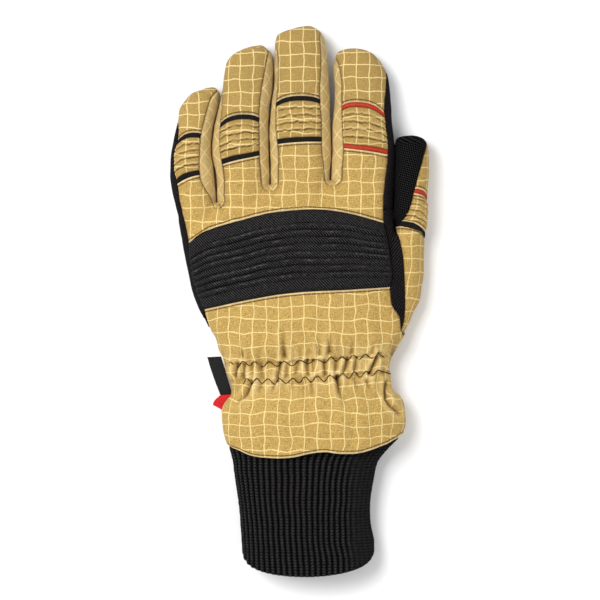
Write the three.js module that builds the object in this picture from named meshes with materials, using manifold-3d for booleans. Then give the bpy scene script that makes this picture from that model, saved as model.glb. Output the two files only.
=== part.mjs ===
// A firefighter's glove for the left hand, lying palm down and empty.
// Millimetres, +Z up: the fingers point to +Y, the thumb lies on the +X side, the palm rests on z = 0.
// The origin is on the flat of the palm, under the knuckle guard.
// The outer body and the hollow are each a few soft tubes joined. Their difference is the cloth,
// which is then cut along the seams, seen from above, into the pieces that are sewn together.
import * as THREE from "three";
import { mergeVertices } from "three/addons/utils/BufferGeometryUtils.js";
import Module from "manifold-3d";

// Cloth
const CLOTH_WALL = 2.2;
const SEAM_GAP = 0.3;
const CLEAR = 3; // how far a cutting outline runs past the glove's own edge
const BEYOND = 0.7; // a place off the glove's side, as a share of the palm's width from its middle line
const HEM_TRIM = 0.2; // cut off the end of the gauntlet, which opens its hollow

// Hand and gauntlet, from the hem to the webs between the fingers
const HEM_Y = -92;
const HAND_LENGTH = 151;
const PALM_WIDTH = 119;
const HAND_HEIGHT = 31;
const HAND_EQUATOR = 0.4; // height of the widest level, as a share of the section's height
const SIDE_SEAM_Z = 12;
const WEB_FALL = 11; // how much lower the web beside the little finger lies than the index finger's
const WEB_ROUND = 9; // length over which the hand closes between the fingers
const WEB_FOLD = 1.4; // from the web's end back to its seam on the top
const WEB_DEPTH = 4.5; // depth of a web's U-shaped seam
const WEB_BLUNT = 0.14; // share of the section's height that is left where the web ends
const WRIST_LIFT = 2.5; // the gathered wrist stands this far off the table
const PALM_SEAM_Y = -20; // palm panel to the front of the gauntlet

// Gathers at the wrist
const GATHER_FOLDS = 9; // across the back of the hand
const GATHER_RISE = 2;

// Knuckle guard
const GUARD_PAD = 2.2; // how far it stands above the cloth
const GUARD_EDGE = 0.5; // its height at the sewn edge
const GUARD_RIDGES = 8;
const GUARD_RIDGE_RISE = 0.9;
const GUARD_PLAIN = 0.2; // share of its length that is plain at each end

// Fingers and thumb
const FINGER_ROOT = 22; // how far inside the hand the finger tubes start
const FINGER_HEIGHT = 20.5;
const FINGER_EQUATOR_Z = 9;
const FINGER_ARCH = 3; // rise of the finger's underside between its tip and the palm
const MIDDLE_FINGER_X = 4.7;
const THUMB_STRIPE_RISE = 4.2; // from the crotch beside the index finger up to the thumb's black stripe
const THUMB_HEIGHT = 22;
const THUMB_EQUATOR_Z = 10;
const THUMB_FROM_INDEX = 0.9; // clear width between the index finger and the thumb
const THUMB_CLOSEST = 0.72; // share of the thumb's length where that width is measured
const THUMB_STRIPE_SLOPE = 0.5; // fall of its stripes where they wrap round its right side
const TIP_THINNING = 0.7; // a finger lower than this share of its height has a thinner wall inside
const STRIPE_WIDTH = 2.4;
const TUCKS = 4;
const TUCK_RISE = 0.7;

// Knitted cuff
const CUFF_TOP_Y = -81; // inside the hem
const CUFF_LENGTH = 61;
const CUFF_BOW = 14; // how much further the cuff's middle reaches than its sides
const CUFF_WIDTH = 75;
const CUFF_HEIGHT = 27;
const CUFF_MIDDLE_X = 7.5;
const CUFF_WALL = 2.6;
const CUFF_RIBS = 26; // all round
const RIB_DEPTH = 0.7;

// Tape label and tab at the side seam of the gauntlet
const TAPE_THICKNESS = 1;
const TAPE_STEPS = 6; // along its edge at the seam

// Roundness of a section: 2 is an ellipse, more is squarer
const TOP_POWER = 2.3;
const FLOOR_POWER = 3;
const FLAT_SHARE = 1.07; // the underside is cut off flat where it would go below the floor
const FLOOR_SIDES = 5; // facets of an outer section below its equator
const HAND_SIDES = 10; // facets above it
const FINGER_SIDES = 6;
const PAD_SIDES = 8;
const HOLLOW_SIDES = 6; // facets above and below, in the hollow of the hand
const FINGER_HOLLOW_SIDES = 4;
const CUFF_HOLLOW_SIDES = 8;

// Sections of the hand: edges as shares of the palm's width, height as a share of the hand's height,
// gather as a share of the gathers' rise. "at" is a share of the hand's length, from the hem.
const HAND_SECTIONS = [
  { at: 0.0, left: -0.282, right: 0.481, high: 0.97, gather: 0 },
  { at: 0.06, left: -0.302, right: 0.508, high: 1.0, gather: 0 },
  { at: 0.14, left: -0.324, right: 0.527, high: 1.04, gather: 0 },
  { at: 0.216, left: -0.3, right: 0.511, high: 0.98, gather: 0.5 },
  { at: 0.245, left: -0.282, right: 0.474, high: 0.93, gather: 0.7 },
  { at: 0.296, left: -0.295, right: 0.457, high: 0.82, gather: 1 },
  { at: 0.322, left: -0.308, right: 0.453, high: 0.86, gather: 0.9 },
  { at: 0.347, left: -0.313, right: 0.453, high: 0.82, gather: 1 },
  { at: 0.373, left: -0.321, right: 0.467, high: 0.89, gather: 0.6 },
  { at: 0.398, left: -0.337, right: 0.481, high: 0.94, gather: 0.3 },
  { at: 0.434, left: -0.353, right: 0.505, high: 0.98, gather: 0 },
  { at: 0.533, left: -0.421, right: 0.518, high: 1.0, gather: 0 },
  { at: 0.598, left: -0.456, right: 0.515, high: 1.0, gather: 0 },
  { at: 0.682, left: -0.481, right: 0.508, high: 0.99, gather: 0 },
  { at: 0.77, left: -0.504, right: 0.497, high: 0.95, gather: 0 },
  { at: 0.893, left: -0.526, right: 0.477, high: 0.84, gather: 0 },
  { at: 1.0, left: -0.515, right: 0.472, high: 0.76, gather: 0 },
];

// Each finger's sections, from its root to its tip. Edges are shares of its width from its own line,
// high is a share of the finger's height. The seams are shares of the half width there, where more
// than 1 is off the edge: on that stretch the back meets the front along the side of the finger.
const LITTLE_SECTIONS = [
  { at: 0.0, left: -0.34, right: 0.54, high: 0.9, seamLeft: -0.75, seamRight: 0.95 },
  { at: 0.15, left: -0.47, right: 0.532, high: 0.98, seamLeft: -0.76, seamRight: 0.91 },
  { at: 0.3, left: -0.57, right: 0.507, high: 1, seamLeft: -0.72, seamRight: 0.44 },
  { at: 0.4, left: -0.587, right: 0.475, high: 1, seamLeft: -0.79, seamRight: 0.37 },
  { at: 0.53, left: -0.562, right: 0.412, high: 1, seamLeft: -0.8, seamRight: 0.44 },
  { at: 0.66, left: -0.477, right: 0.44, high: 0.98, seamLeft: -0.82, seamRight: 0.45 },
  { at: 0.76, left: -0.386, right: 0.5, high: 0.95, seamLeft: -1.04, seamRight: 0.48 },
  { at: 0.84, left: -0.33, right: 0.565, high: 0.9, seamLeft: -1.15, seamRight: 0.51 },
  { at: 0.91, left: -0.147, right: 0.6, high: 0.82, seamLeft: -1.15, seamRight: 0.55 },
  { at: 0.955, left: -0.02, right: 0.62, high: 0.7, seamLeft: -1.15, seamRight: 0.7 },
  { at: 0.985, left: 0.22, right: 0.56, high: 0.45, seamLeft: -1.15, seamRight: 1.08 },
  { at: 1.0, left: 0.45, right: 0.45, high: 0, seamLeft: -1.15, seamRight: 1.15 },
];
const RING_SECTIONS = [
  { at: 0.0, left: -0.42, right: 0.48, high: 0.95, seamLeft: -0.73, seamRight: 0.75 },
  { at: 0.15, left: -0.452, right: 0.491, high: 1, seamLeft: -0.73, seamRight: 0.75 },
  { at: 0.27, left: -0.471, right: 0.499, high: 1, seamLeft: -0.72, seamRight: 0.72 },
  { at: 0.4, left: -0.544, right: 0.486, high: 1, seamLeft: -0.71, seamRight: 0.68 },
  { at: 0.53, left: -0.511, right: 0.477, high: 1, seamLeft: -0.78, seamRight: 0.67 },
  { at: 0.66, left: -0.418, right: 0.504, high: 0.98, seamLeft: -0.9, seamRight: 0.62 },
  { at: 0.76, left: -0.349, right: 0.55, high: 0.96, seamLeft: -1.06, seamRight: 0.6 },
  { at: 0.84, left: -0.327, right: 0.566, high: 0.93, seamLeft: -1.12, seamRight: 0.66 },
  { at: 0.91, left: -0.254, right: 0.558, high: 0.86, seamLeft: -1.12, seamRight: 0.76 },
  { at: 0.955, left: -0.118, right: 0.54, high: 0.72, seamLeft: -1.12, seamRight: 0.85 },
  { at: 0.985, left: 0.07, right: 0.43, high: 0.45, seamLeft: -1.12, seamRight: 1.1 },
  { at: 1.0, left: 0.33, right: 0.33, high: 0, seamLeft: -1.12, seamRight: 1.12 },
];
const MIDDLE_SECTIONS = [
  { at: 0.0, left: -0.49, right: 0.48, high: 0.95, seamLeft: -0.76, seamRight: 0.83 },
  { at: 0.12, left: -0.491, right: 0.483, high: 1, seamLeft: -0.76, seamRight: 0.83 },
  { at: 0.24, left: -0.483, right: 0.472, high: 1, seamLeft: -0.76, seamRight: 0.83 },
  { at: 0.36, left: -0.493, right: 0.499, high: 1, seamLeft: -0.74, seamRight: 0.71 },
  { at: 0.48, left: -0.502, right: 0.479, high: 1, seamLeft: -0.79, seamRight: 0.71 },
  { at: 0.6, left: -0.472, right: 0.476, high: 0.99, seamLeft: -0.85, seamRight: 0.67 },
  { at: 0.7, left: -0.426, right: 0.461, high: 0.97, seamLeft: -0.89, seamRight: 0.67 },
  { at: 0.78, left: -0.424, right: 0.443, high: 0.95, seamLeft: -0.88, seamRight: 0.75 },
  { at: 0.86, left: -0.424, right: 0.424, high: 0.92, seamLeft: -0.9, seamRight: 0.79 },
  { at: 0.92, left: -0.404, right: 0.392, high: 0.86, seamLeft: -1.05, seamRight: 0.83 },
  { at: 0.96, left: -0.347, right: 0.347, high: 0.74, seamLeft: -1.12, seamRight: 0.93 },
  { at: 0.985, left: -0.13, right: 0.271, high: 0.45, seamLeft: -1.12, seamRight: 1.1 },
  { at: 1.0, left: 0.13, right: 0.13, high: 0, seamLeft: -1.12, seamRight: 1.12 },
];
const INDEX_SECTIONS = [
  { at: 0.0, left: -0.485, right: 0.485, high: 0.95, seamLeft: -0.68, seamRight: 0.69 },
  { at: 0.14, left: -0.495, right: 0.496, high: 1, seamLeft: -0.68, seamRight: 0.66 },
  { at: 0.28, left: -0.504, right: 0.509, high: 1, seamLeft: -0.68, seamRight: 0.73 },
  { at: 0.42, left: -0.484, right: 0.509, high: 1, seamLeft: -0.66, seamRight: 0.78 },
  { at: 0.55, left: -0.482, right: 0.474, high: 0.99, seamLeft: -0.68, seamRight: 0.76 },
  { at: 0.66, left: -0.458, right: 0.453, high: 0.97, seamLeft: -0.75, seamRight: 0.76 },
  { at: 0.76, left: -0.445, right: 0.432, high: 0.95, seamLeft: -0.77, seamRight: 0.86 },
  { at: 0.85, left: -0.461, right: 0.394, high: 0.92, seamLeft: -0.77, seamRight: 0.97 },
  { at: 0.91, left: -0.461, right: 0.302, high: 0.86, seamLeft: -0.84, seamRight: 1.1 },
  { at: 0.955, left: -0.432, right: 0.199, high: 0.74, seamLeft: -1.05, seamRight: 1.12 },
  { at: 0.985, left: -0.366, right: 0.08, high: 0.48, seamLeft: -1.12, seamRight: 1.12 },
  { at: 1.0, left: -0.15, right: -0.15, high: 0, seamLeft: -1.12, seamRight: 1.12 },
];
const THUMB_SECTIONS = [
  { at: 0.0, left: -1.4, right: -0.4, high: 0.72, seamLeft: 0.9 },
  { at: 0.1, left: -1.38, right: 0.04, high: 0.78, seamLeft: 0.5 },
  { at: 0.2, left: -1.25, right: 0.244, high: 0.84, seamLeft: 0.3 },
  { at: 0.3, left: -1.09, right: 0.335, high: 0.88, seamLeft: 0.1 },
  { at: 0.44, left: -0.75, right: 0.37, high: 0.93, seamLeft: -0.2 },
  { at: 0.54, left: -0.48, right: 0.4, high: 0.97, seamLeft: -1.02 },
  { at: 0.6, left: -0.46, right: 0.415, high: 1, seamLeft: -0.3 },
  { at: 0.655, left: -0.458, right: 0.44, high: 1, seamLeft: -0.02 },
  { at: 0.72, left: -0.456, right: 0.465, high: 1, seamLeft: 0.17 },
  { at: 0.82, left: -0.453, right: 0.505, high: 0.98, seamLeft: 0.45 },
  { at: 0.92, left: -0.453, right: 0.5, high: 0.92, seamLeft: 0.8 },
  { at: 0.965, left: -0.447, right: 0.43, high: 0.78, seamLeft: 1.02 },
  { at: 0.988, left: -0.41, right: 0.29, high: 0.5, seamLeft: 1.1 },
  { at: 1.0, left: 0, right: 0, high: 0, seamLeft: 1.1 },
];

// A stripe's top edge: at is a share of the length, rise and bow are shares of the width.
// The edge climbs by "rise" from the middle to the right seam, and falls by "bow" towards both.
const FINGERS = [
  {
    name: "little",
    length: 75.9,
    width: 22.5,
    rows: LITTLE_SECTIONS,
    upper: { at: 0.657, rise: 0.09, bow: 0.09, colour: "black" },
    lower: { at: 0.368, rise: 0.11, bow: 0.035, colour: "black" },
  },
  {
    name: "ring",
    length: 99.2,
    width: 30.3,
    rows: RING_SECTIONS,
    upper: { at: 0.606, rise: 0.05, bow: 0.095, colour: "black" },
    lower: { at: 0.385, rise: 0.08, bow: 0.008, colour: "black" },
  },
  {
    name: "middle",
    length: 109.9,
    width: 34.1,
    rows: MIDDLE_SECTIONS,
    upper: { at: 0.641, rise: 0.027, bow: 0.073, colour: "black" },
    lower: { at: 0.434, rise: 0.02, bow: 0.011, colour: "black" },
  },
  {
    name: "index",
    length: 97.6,
    width: 34.6,
    rows: INDEX_SECTIONS,
    upper: { at: 0.685, rise: -0.064, bow: 0.11, colour: "red" },
    lower: { at: 0.44, rise: -0.05, bow: 0.01, colour: "red" },
  },
];
const THUMB = {
  name: "thumb",
  length: 112.5,
  width: 18.7,
  rows: THUMB_SECTIONS,
  upper: { at: 0.723, rise: -0.12, bow: 0.045, colour: "red" },
  lower: { at: 0.562, rise: -0.175, bow: 0.095, colour: "black" },
};

// Seams on the back of the hand: across is a share of the palm's width, along of the hand's length
const GUARD_TOP = [
  { across: -0.478, along: 0.787 },
  { across: -0.407, along: 0.828 },
  { across: -0.256, along: 0.866 },
  { across: -0.105, along: 0.896 },
  { across: 0.092, along: 0.909 },
  { across: 0.245, along: 0.897 },
  { across: 0.425, along: 0.861 },
];
const GUARD_BOTTOM = [
  { across: -0.406, along: 0.546 },
  { across: -0.282, along: 0.568 },
  { across: -0.105, along: 0.595 },
  { across: 0.037, along: 0.609 },
  { across: 0.245, along: 0.617 },
  { across: 0.453, along: 0.628 },
];
const GUARD_LEFT = [
  { across: -0.478, along: 0.787 },
  { across: -0.468, along: 0.716 },
  { across: -0.446, along: 0.629 },
  { across: -0.406, along: 0.546 },
];
const GUARD_RIGHT = [
  { across: 0.425, along: 0.861 },
  { across: 0.446, along: 0.771 },
  { across: 0.463, along: 0.672 },
  { across: 0.453, along: 0.628 },
];
// Where the palm's black cloth ends on the left edge of the gauntlet
const PALM_EDGE_END = { across: -0.39, along: 0.485 };
// The black band beside the thumb, from the guard's corner round its point and up to the thumb
const BAND_LEFT = [
  { across: 0.453, along: 0.628 },
  { across: 0.458, along: 0.58 },
  { across: 0.467, along: 0.555 },
  { across: 0.499, along: 0.517 },
  { across: 0.506, along: 0.469 },
];
const BAND_RIGHT = [
  { across: 0.506, along: 0.469 },
  { across: 0.52, along: 0.507 },
  { across: 0.523, along: 0.573 },
  { across: 0.52, along: 0.653 },
  { across: 0.511, along: 0.74 },
  { across: 0.496, along: 0.791 },
  { across: 0.478, along: 0.828 },
];
const HEM = [
  { across: -0.33, along: 0.062 },
  { across: -0.27, along: 0.038 },
  { across: -0.2, along: 0.015 },
  { across: -0.09, along: 0.006 },
  { across: 0.0, along: 0.01 },
  { across: 0.07, along: 0.022 },
  { across: 0.15, along: 0.029 },
  { across: 0.22, along: 0.023 },
  { across: 0.31, along: 0.025 },
  { across: 0.39, along: 0.042 },
  { across: 0.48, along: 0.072 },
  { across: 0.54, along: 0.11 },
];

// Sections of the knitted cuff, from inside the hem to its open end, as shares of its own sizes.
// Raised is the share of the gauntlet's wall and seam gap by which it stands off the table.
const CUFF_SECTIONS = [
  { at: 0.0, left: -0.48, right: 0.6, high: 0.91, raised: 1.3 },
  { at: 0.2, left: -0.51, right: 0.53, high: 0.94, raised: 1.2 },
  { at: 0.34, left: -0.51, right: 0.49, high: 0.96, raised: 0 },
  { at: 0.55, left: -0.485, right: 0.46, high: 0.96, raised: 0 },
  { at: 0.92, left: -0.46, right: 0.5, high: 1.0, raised: 0 },
  { at: 1.0, left: -0.46, right: 0.5, high: 0.98, raised: 0 },
];

// Corners of the tape label and the tab, out from the gauntlet's left edge, as shares of the palm's width
const LABEL_EDGE = [
  { along: 0.373, out: 0.065 },
  { along: 0.3, out: 0.058 },
  { along: 0.235, out: 0.052 },
];
const TAB_EDGE = [
  { along: 0.231, out: 0.042 },
  { along: 0.212, out: 0.052 },
  { along: 0.198, out: 0.052 },
  { along: 0.181, out: 0.012 },
];

const CLOTH_COLOURS = {
  khaki: { color: 0xc4a468, roughness: 0.85, metalness: 0 },
  black: { color: 0x26252a, roughness: 0.8, metalness: 0 },
  guard: { color: 0x303032, roughness: 0.75, metalness: 0 },
  knit: { color: 0x1c1b1d, roughness: 0.95, metalness: 0 },
  red: { color: 0xd84a34, roughness: 0.55, metalness: 0 },
};

const wasm = await Module();
wasm.setup();

// A table's column at any station, on a smooth curve through its rows
function along(rows, column, at) {
  const inside = Math.min(Math.max(at, rows[0].at), rows[rows.length - 1].at);
  let i = 0;
  while (i < rows.length - 2 && rows[i + 1].at < inside) i += 1;
  const [a, b] = [rows[i], rows[i + 1]];
  const before = rows[Math.max(i - 1, 0)];
  const after = rows[Math.min(i + 2, rows.length - 1)];
  const span = b.at - a.at;
  const slopeA = (b[column] - before[column]) / (b.at - before.at);
  const slopeB = (after[column] - a[column]) / (after.at - a.at);
  const t = (inside - a.at) / span;
  const fromA = (1 + 2 * t) * (1 - t) ** 2 * a[column] + t * (1 - t) ** 2 * span * slopeA;
  const fromB = t * t * (3 - 2 * t) * b[column] + t * t * (t - 1) * span * slopeB;
  return fromA + fromB;
}

function mergedSolid(geometry) {
  const bare = geometry.index ? geometry.toNonIndexed() : geometry;
  bare.deleteAttribute("normal");
  bare.deleteAttribute("uv");
  const merged = mergeVertices(bare, 1e-4);
  const corners = [];
  for (let i = 0; i < merged.index.count; i += 3) {
    const [a, b, c] = [0, 1, 2].map((k) => merged.index.getX(i + k));
    if (a !== b && b !== c && c !== a) corners.push(a, b, c);
  }
  const vertProperties = merged.getAttribute("position").array;
  return new wasm.Manifold(new wasm.Mesh({ numProp: 3, vertProperties, triVerts: new Uint32Array(corners) }));
}

// A closed skin over rings of equally many points, which run counter-clockwise seen from -Y
function skin(rings) {
  const positions = [];
  const push = (...points) => points.forEach((p) => positions.push(...p));
  for (let i = 0; i + 1 < rings.length; i += 1) {
    const [near, far] = [rings[i], rings[i + 1]];
    near.forEach((p, j) => {
      const k = (j + 1) % near.length;
      push(p, far[j], near[k], near[k], far[j], far[k]);
    });
  }
  const middle = (ring) => [0, 1, 2].map((k) => ring.reduce((sum, p) => sum + p[k], 0) / ring.length);
  const [first, last] = [rings[0], rings[rings.length - 1]];
  first.forEach((p, j) => push(middle(first), p, first[(j + 1) % first.length]));
  last.forEach((p, j) => push(middle(last), last[(j + 1) % last.length], p));
  const geometry = new THREE.BufferGeometry();
  geometry.setAttribute("position", new THREE.BufferAttribute(new Float32Array(positions), 3));
  return mergedSolid(geometry);
}

// One ring of a soft tube: round above its equator, flatter and cut off at the floor below it
function softRing({ y, left, right, crown, equator, floor }, topSides, floorSides, lift = () => 0) {
  const [middle, half] = [(left + right) / 2, (right - left) / 2];
  return Array.from({ length: topSides + floorSides }, (_, j) => {
    const angle = j < topSides ? (Math.PI * j) / topSides : Math.PI * (1 + (j - topSides) / floorSides);
    const [c, s] = [Math.cos(angle), Math.sin(angle)];
    const power = s >= 0 ? TOP_POWER : FLOOR_POWER;
    const x = middle + half * Math.sign(c) * Math.abs(c) ** (2 / power);
    const rise = Math.abs(s) ** (2 / power);
    const top = equator + (crown - equator) * rise + lift(j) * rise;
    const bottom = Math.max(equator - (equator - floor) * FLAT_SHARE * rise, floor);
    return [x, typeof y === "function" ? y(x, Math.abs(s)) : y, s >= 0 ? top : bottom];
  });
}

// Places on the plan
const handX = (across) => across * PALM_WIDTH;
const handY = (share) => HEM_Y + share * HAND_LENGTH;
const handPoint = ({ across, along: share }) => new THREE.Vector2(handX(across), handY(share));
const knuckleY = handY(1);
FINGERS[2].x = MIDDLE_FINGER_X;
FINGERS[1].x = FINGERS[2].x - (FINGERS[1].width + FINGERS[2].width) / 2;
FINGERS[0].x = FINGERS[1].x - (FINGERS[0].width + FINGERS[1].width) / 2;
FINGERS[3].x = FINGERS[2].x + (FINGERS[2].width + FINGERS[3].width) / 2;
FINGERS.forEach((finger) => {
  finger.rootY = knuckleY - FINGER_ROOT;
  finger.height = FINGER_HEIGHT;
  finger.equator = FINGER_EQUATOR_Z;
  finger.arch = FINGER_ARCH;
});
const indexEdge = Math.max(...INDEX_SECTIONS.map((row) => row.right)) * FINGERS[3].width + FINGERS[3].x;
const thumbEdge = along(THUMB_SECTIONS, "left", THUMB_CLOSEST) * THUMB.width;
THUMB.x = indexEdge + THUMB_FROM_INDEX - thumbEdge;
const crotchY = handY(BAND_RIGHT[BAND_RIGHT.length - 1].along);
THUMB.rootY = crotchY + THUMB_STRIPE_RISE - THUMB.lower.at * THUMB.length;
THUMB.height = THUMB_HEIGHT;
THUMB.equator = THUMB_EQUATOR_Z;
THUMB.arch = 0;

// The place between two fingers, from the middle of the gap between their widths
const webX = (i) => FINGERS[i].x + FINGERS[i].width / 2;
function webEndY(x) {
  const share = Math.min(Math.max((webX(2) - x) / (webX(2) - webX(0)), 0), 1.3);
  return knuckleY - WEB_FALL * share ** 2;
}

// The hand and the gauntlet. An inset of one wall gives their hollow.
function handSection(share, inset) {
  const crown = along(HAND_SECTIONS, "high", share) * HAND_HEIGHT;
  const pinch = along(HAND_SECTIONS, "gather", share);
  const floor = WRIST_LIFT * pinch;
  return {
    left: handX(along(HAND_SECTIONS, "left", share)) + inset,
    right: handX(along(HAND_SECTIONS, "right", share)) - inset,
    crown: crown - inset,
    equator: floor + (crown - floor) * HAND_EQUATOR,
    floor: floor + inset,
  };
}
// The same body with a higher fold on every second facet at the wrist
function gatheredBody() {
  return skin(HAND_SECTIONS.slice(0, -1).map(({ at, gather }) => {
    const rise = GATHER_RISE * gather;
    const lift = (j) => (j % 2 ? 0 : rise);
    return softRing({ ...handSection(at, 0), y: handY(at) }, 2 * GATHER_FOLDS, FLOOR_SIDES, lift);
  }));
}
function handBody(inset, topSides, floorSides) {
  const straight = HAND_SECTIONS.slice(0, -1).map((row) => row.at).filter((_, i) => !inset || i % 2 === 0);
  const rings = straight.map((at) => {
    return softRing({ ...handSection(at, inset), y: handY(at) }, topSides, floorSides);
  });
  const steps = 3;
  for (let i = 1; i <= steps; i += 1) {
    const angle = (i / steps) * (Math.PI / 2);
    const section = handSection(1, inset);
    const closed = Math.max(Math.cos(angle), WEB_BLUNT);
    section.crown = section.equator + (section.crown - section.equator) * closed;
    section.floor = section.equator - (section.equator - section.floor) * closed;
    section.y = (x) => webEndY(x) - inset - (WEB_ROUND - inset) * (1 - Math.sin(angle));
    rings.push(softRing(section, topSides, floorSides));
  }
  return skin(rings);
}
// Height of the cloth's top at a place on the back of the hand
function handTop(x, y) {
  const { left, right, crown, equator } = handSection((y - HEM_Y) / HAND_LENGTH, 0);
  const share = Math.min(Math.abs(x - (left + right) / 2) / ((right - left) / 2), 0.999);
  return equator + (crown - equator) * (1 - share ** TOP_POWER) ** (1 / TOP_POWER);
}

// A finger or the thumb. Its tucks stand up on the back between its two stripes.
function fingerTube(finger, inset, topSides, floorSides, tucked = false) {
  const { rootY, length, width, rows, height, equator, arch, upper, lower } = finger;
  const tucksFrom = lower.at;
  const tucksTo = upper.at - STRIPE_WIDTH / length;
  const everySecond = (_, i) => !inset || i % 2 === rows.length % 2 || i === 0;
  const stations = rows.map((row) => row.at).filter(everySecond)
    .filter((at) => !tucked || at <= tucksFrom || at >= tucksTo);
  if (tucked)
    for (let i = 0; i <= 2 * TUCKS; i += 1) stations.push(tucksFrom + ((tucksTo - tucksFrom) * i) / (2 * TUCKS));
  const halfShare = Math.max(...rows.map((row) => row.right - row.left)) / 2;
  const narrow = 1 - inset / (halfShare * width);
  const rings = [...new Set(stations)].sort((a, b) => a - b).map((at) => {
    const left = finger.x + along(rows, "left", at) * width;
    const right = finger.x + along(rows, "right", at) * width;
    const high = Math.min(along(rows, "high", at), 1);
    const inPad = tucked && at > tucksFrom && at < tucksTo;
    const step = Math.round(((at - tucksFrom) / (tucksTo - tucksFrom)) * 2 * TUCKS);
    const tuck = inPad && step % 2 ? TUCK_RISE : 0;
    const lift = arch * Math.sin(Math.PI * Math.min(Math.max(at / 0.9, 0), 1));
    const over = (height - equator) * high;
    const under = equator * high;
    const squash = high / Math.max(high, TIP_THINNING);
    const [middle, half] = [(left + right) / 2, ((right - left) / 2) * narrow];
    return softRing({
      y: rootY + (length - inset) * at,
      left: middle - half,
      right: middle + half,
      crown: equator + lift + over + tuck - inset * squash,
      equator: equator + lift,
      floor: equator + lift - under + inset * squash,
    }, topSides, floorSides);
  });
  return skin(rings);
}
const tuckedTube = (finger) => fingerTube(finger, 0, PAD_SIDES, FLOOR_SIDES, true);

// Where a finger's seam or edge runs, seen from above
function edgeX(finger, side, y) {
  return finger.x + along(finger.rows, side, (y - finger.rootY) / finger.length) * finger.width;
}
function seamX(finger, side, y) {
  const at = (y - finger.rootY) / finger.length;
  const share = along(finger.rows, side === "left" ? "seamLeft" : "seamRight", at);
  const [left, right] = [edgeX(finger, "left", y), edgeX(finger, "right", y)];
  if (share > 1) return right + (share - 1) * finger.width;
  if (share < -1) return left + (share + 1) * finger.width;
  return (left + right) / 2 + (share * (right - left)) / 2;
}
function seamPoints(finger, side, fromY, toY, steps) {
  return Array.from({ length: steps + 1 }, (_, i) => {
    const y = fromY + ((toY - fromY) * i) / steps;
    return new THREE.Vector2(seamX(finger, side, y), y);
  });
}
// A stripe's edge from the left seam to the right, "down" below its top edge
function stripeEdge(finger, stripe, down, rightSide = (y) => seamX(finger, "right", y)) {
  return [-1, -0.4, 0.3, 1].map((u) => {
    const y = finger.rootY + stripe.at * finger.length - down
      + (stripe.rise * u - stripe.bow * u * u) * finger.width;
    const [left, right] = [seamX(finger, "left", y), rightSide(y)];
    return new THREE.Vector2(left + ((right - left) * (u + 1)) / 2, y);
  });
}
const first = (points) => points[0];
const last = (points) => points[points.length - 1];
const curvePoints = (rows, steps = 10) => new THREE.SplineCurve(rows.map(handPoint)).getPoints(steps);

// An outline made a little larger all round
function grown(outline, by) {
  const area = THREE.ShapeUtils.area(outline);
  return outline.map((point, i) => {
    const before = outline[(i + outline.length - 1) % outline.length];
    const after = outline[(i + 1) % outline.length];
    const [into, out] = [point.clone().sub(before).normalize(), after.clone().sub(point).normalize()];
    const outward = new THREE.Vector2(into.y + out.y, -into.x - out.x).normalize().multiplyScalar(Math.sign(area));
    const sharpness = Math.max(Math.sqrt((1 + into.dot(out)) / 2), 0.5);
    return point.clone().addScaledVector(outward, by / sharpness);
  });
}
function withoutRepeats(outline) {
  return outline.filter((point, i) => point.distanceTo(outline[(i + 1) % outline.length]) > 0.05);
}
function prism(outline, from, to) {
  const geometry = new THREE.ExtrudeGeometry(new THREE.Shape(outline), {
    depth: to - from,
    bevelEnabled: false,
    steps: 1,
  });
  return mergedSolid(geometry.translate(0, 0, from));
}
// Of what a cut leaves, the one body that is the piece: the rest are crumbs of the outline's margin
function mainBody(solid) {
  return solid.decompose().sort((a, b) => b.volume() - a.volume())[0];
}

const ABOVE = HAND_HEIGHT * 1.5 + GUARD_PAD;
const BELOW = -CLEAR;
const tubes = [...FINGERS, THUMB];
const outerBody = tubes.reduce(
  (body, tube) => body.add(fingerTube(tube, 0, FINGER_SIDES, FLOOR_SIDES)),
  handBody(0, HAND_SIDES, FLOOR_SIDES),
);
const hollow = tubes.reduce(
  (body, tube) => body.add(fingerTube(tube, CLOTH_WALL, FINGER_HOLLOW_SIDES, FINGER_HOLLOW_SIDES)),
  handBody(CLOTH_WALL, HOLLOW_SIDES, HOLLOW_SIDES),
);
const mouth = prism([
  new THREE.Vector2(-PALM_WIDTH, HEM_Y - CLEAR),
  new THREE.Vector2(PALM_WIDTH, HEM_Y - CLEAR),
  new THREE.Vector2(PALM_WIDTH, HEM_Y + HEM_TRIM),
  new THREE.Vector2(-PALM_WIDTH, HEM_Y + HEM_TRIM),
], BELOW, ABOVE);
let cloth = outerBody.subtract(hollow).subtract(mouth);
const pieces = [];

function cutPiece(name, colour, outline, from = BELOW, to = ABOVE) {
  const shape = withoutRepeats(outline);
  pieces.push({ name, colour, solid: mainBody(cloth.intersect(prism(shape, from, to))) });
  cloth = cloth.subtract(prism(grown(shape, SEAM_GAP), from - SEAM_GAP, to));
}

// A piece whose cloth stands higher than the plain body, and so is cut from a body of its own
function cutRaisedPiece(name, colour, outline, body, from = BELOW) {
  const shape = withoutRepeats(outline);
  const inside = prism(withoutRepeats(grown(shape, -SEAM_GAP)), from, ABOVE);
  pieces.push({ name, colour, solid: mainBody(body.subtract(hollow).intersect(inside)) });
  cloth = cloth.subtract(prism(shape, from - SEAM_GAP, ABOVE));
}

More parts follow.
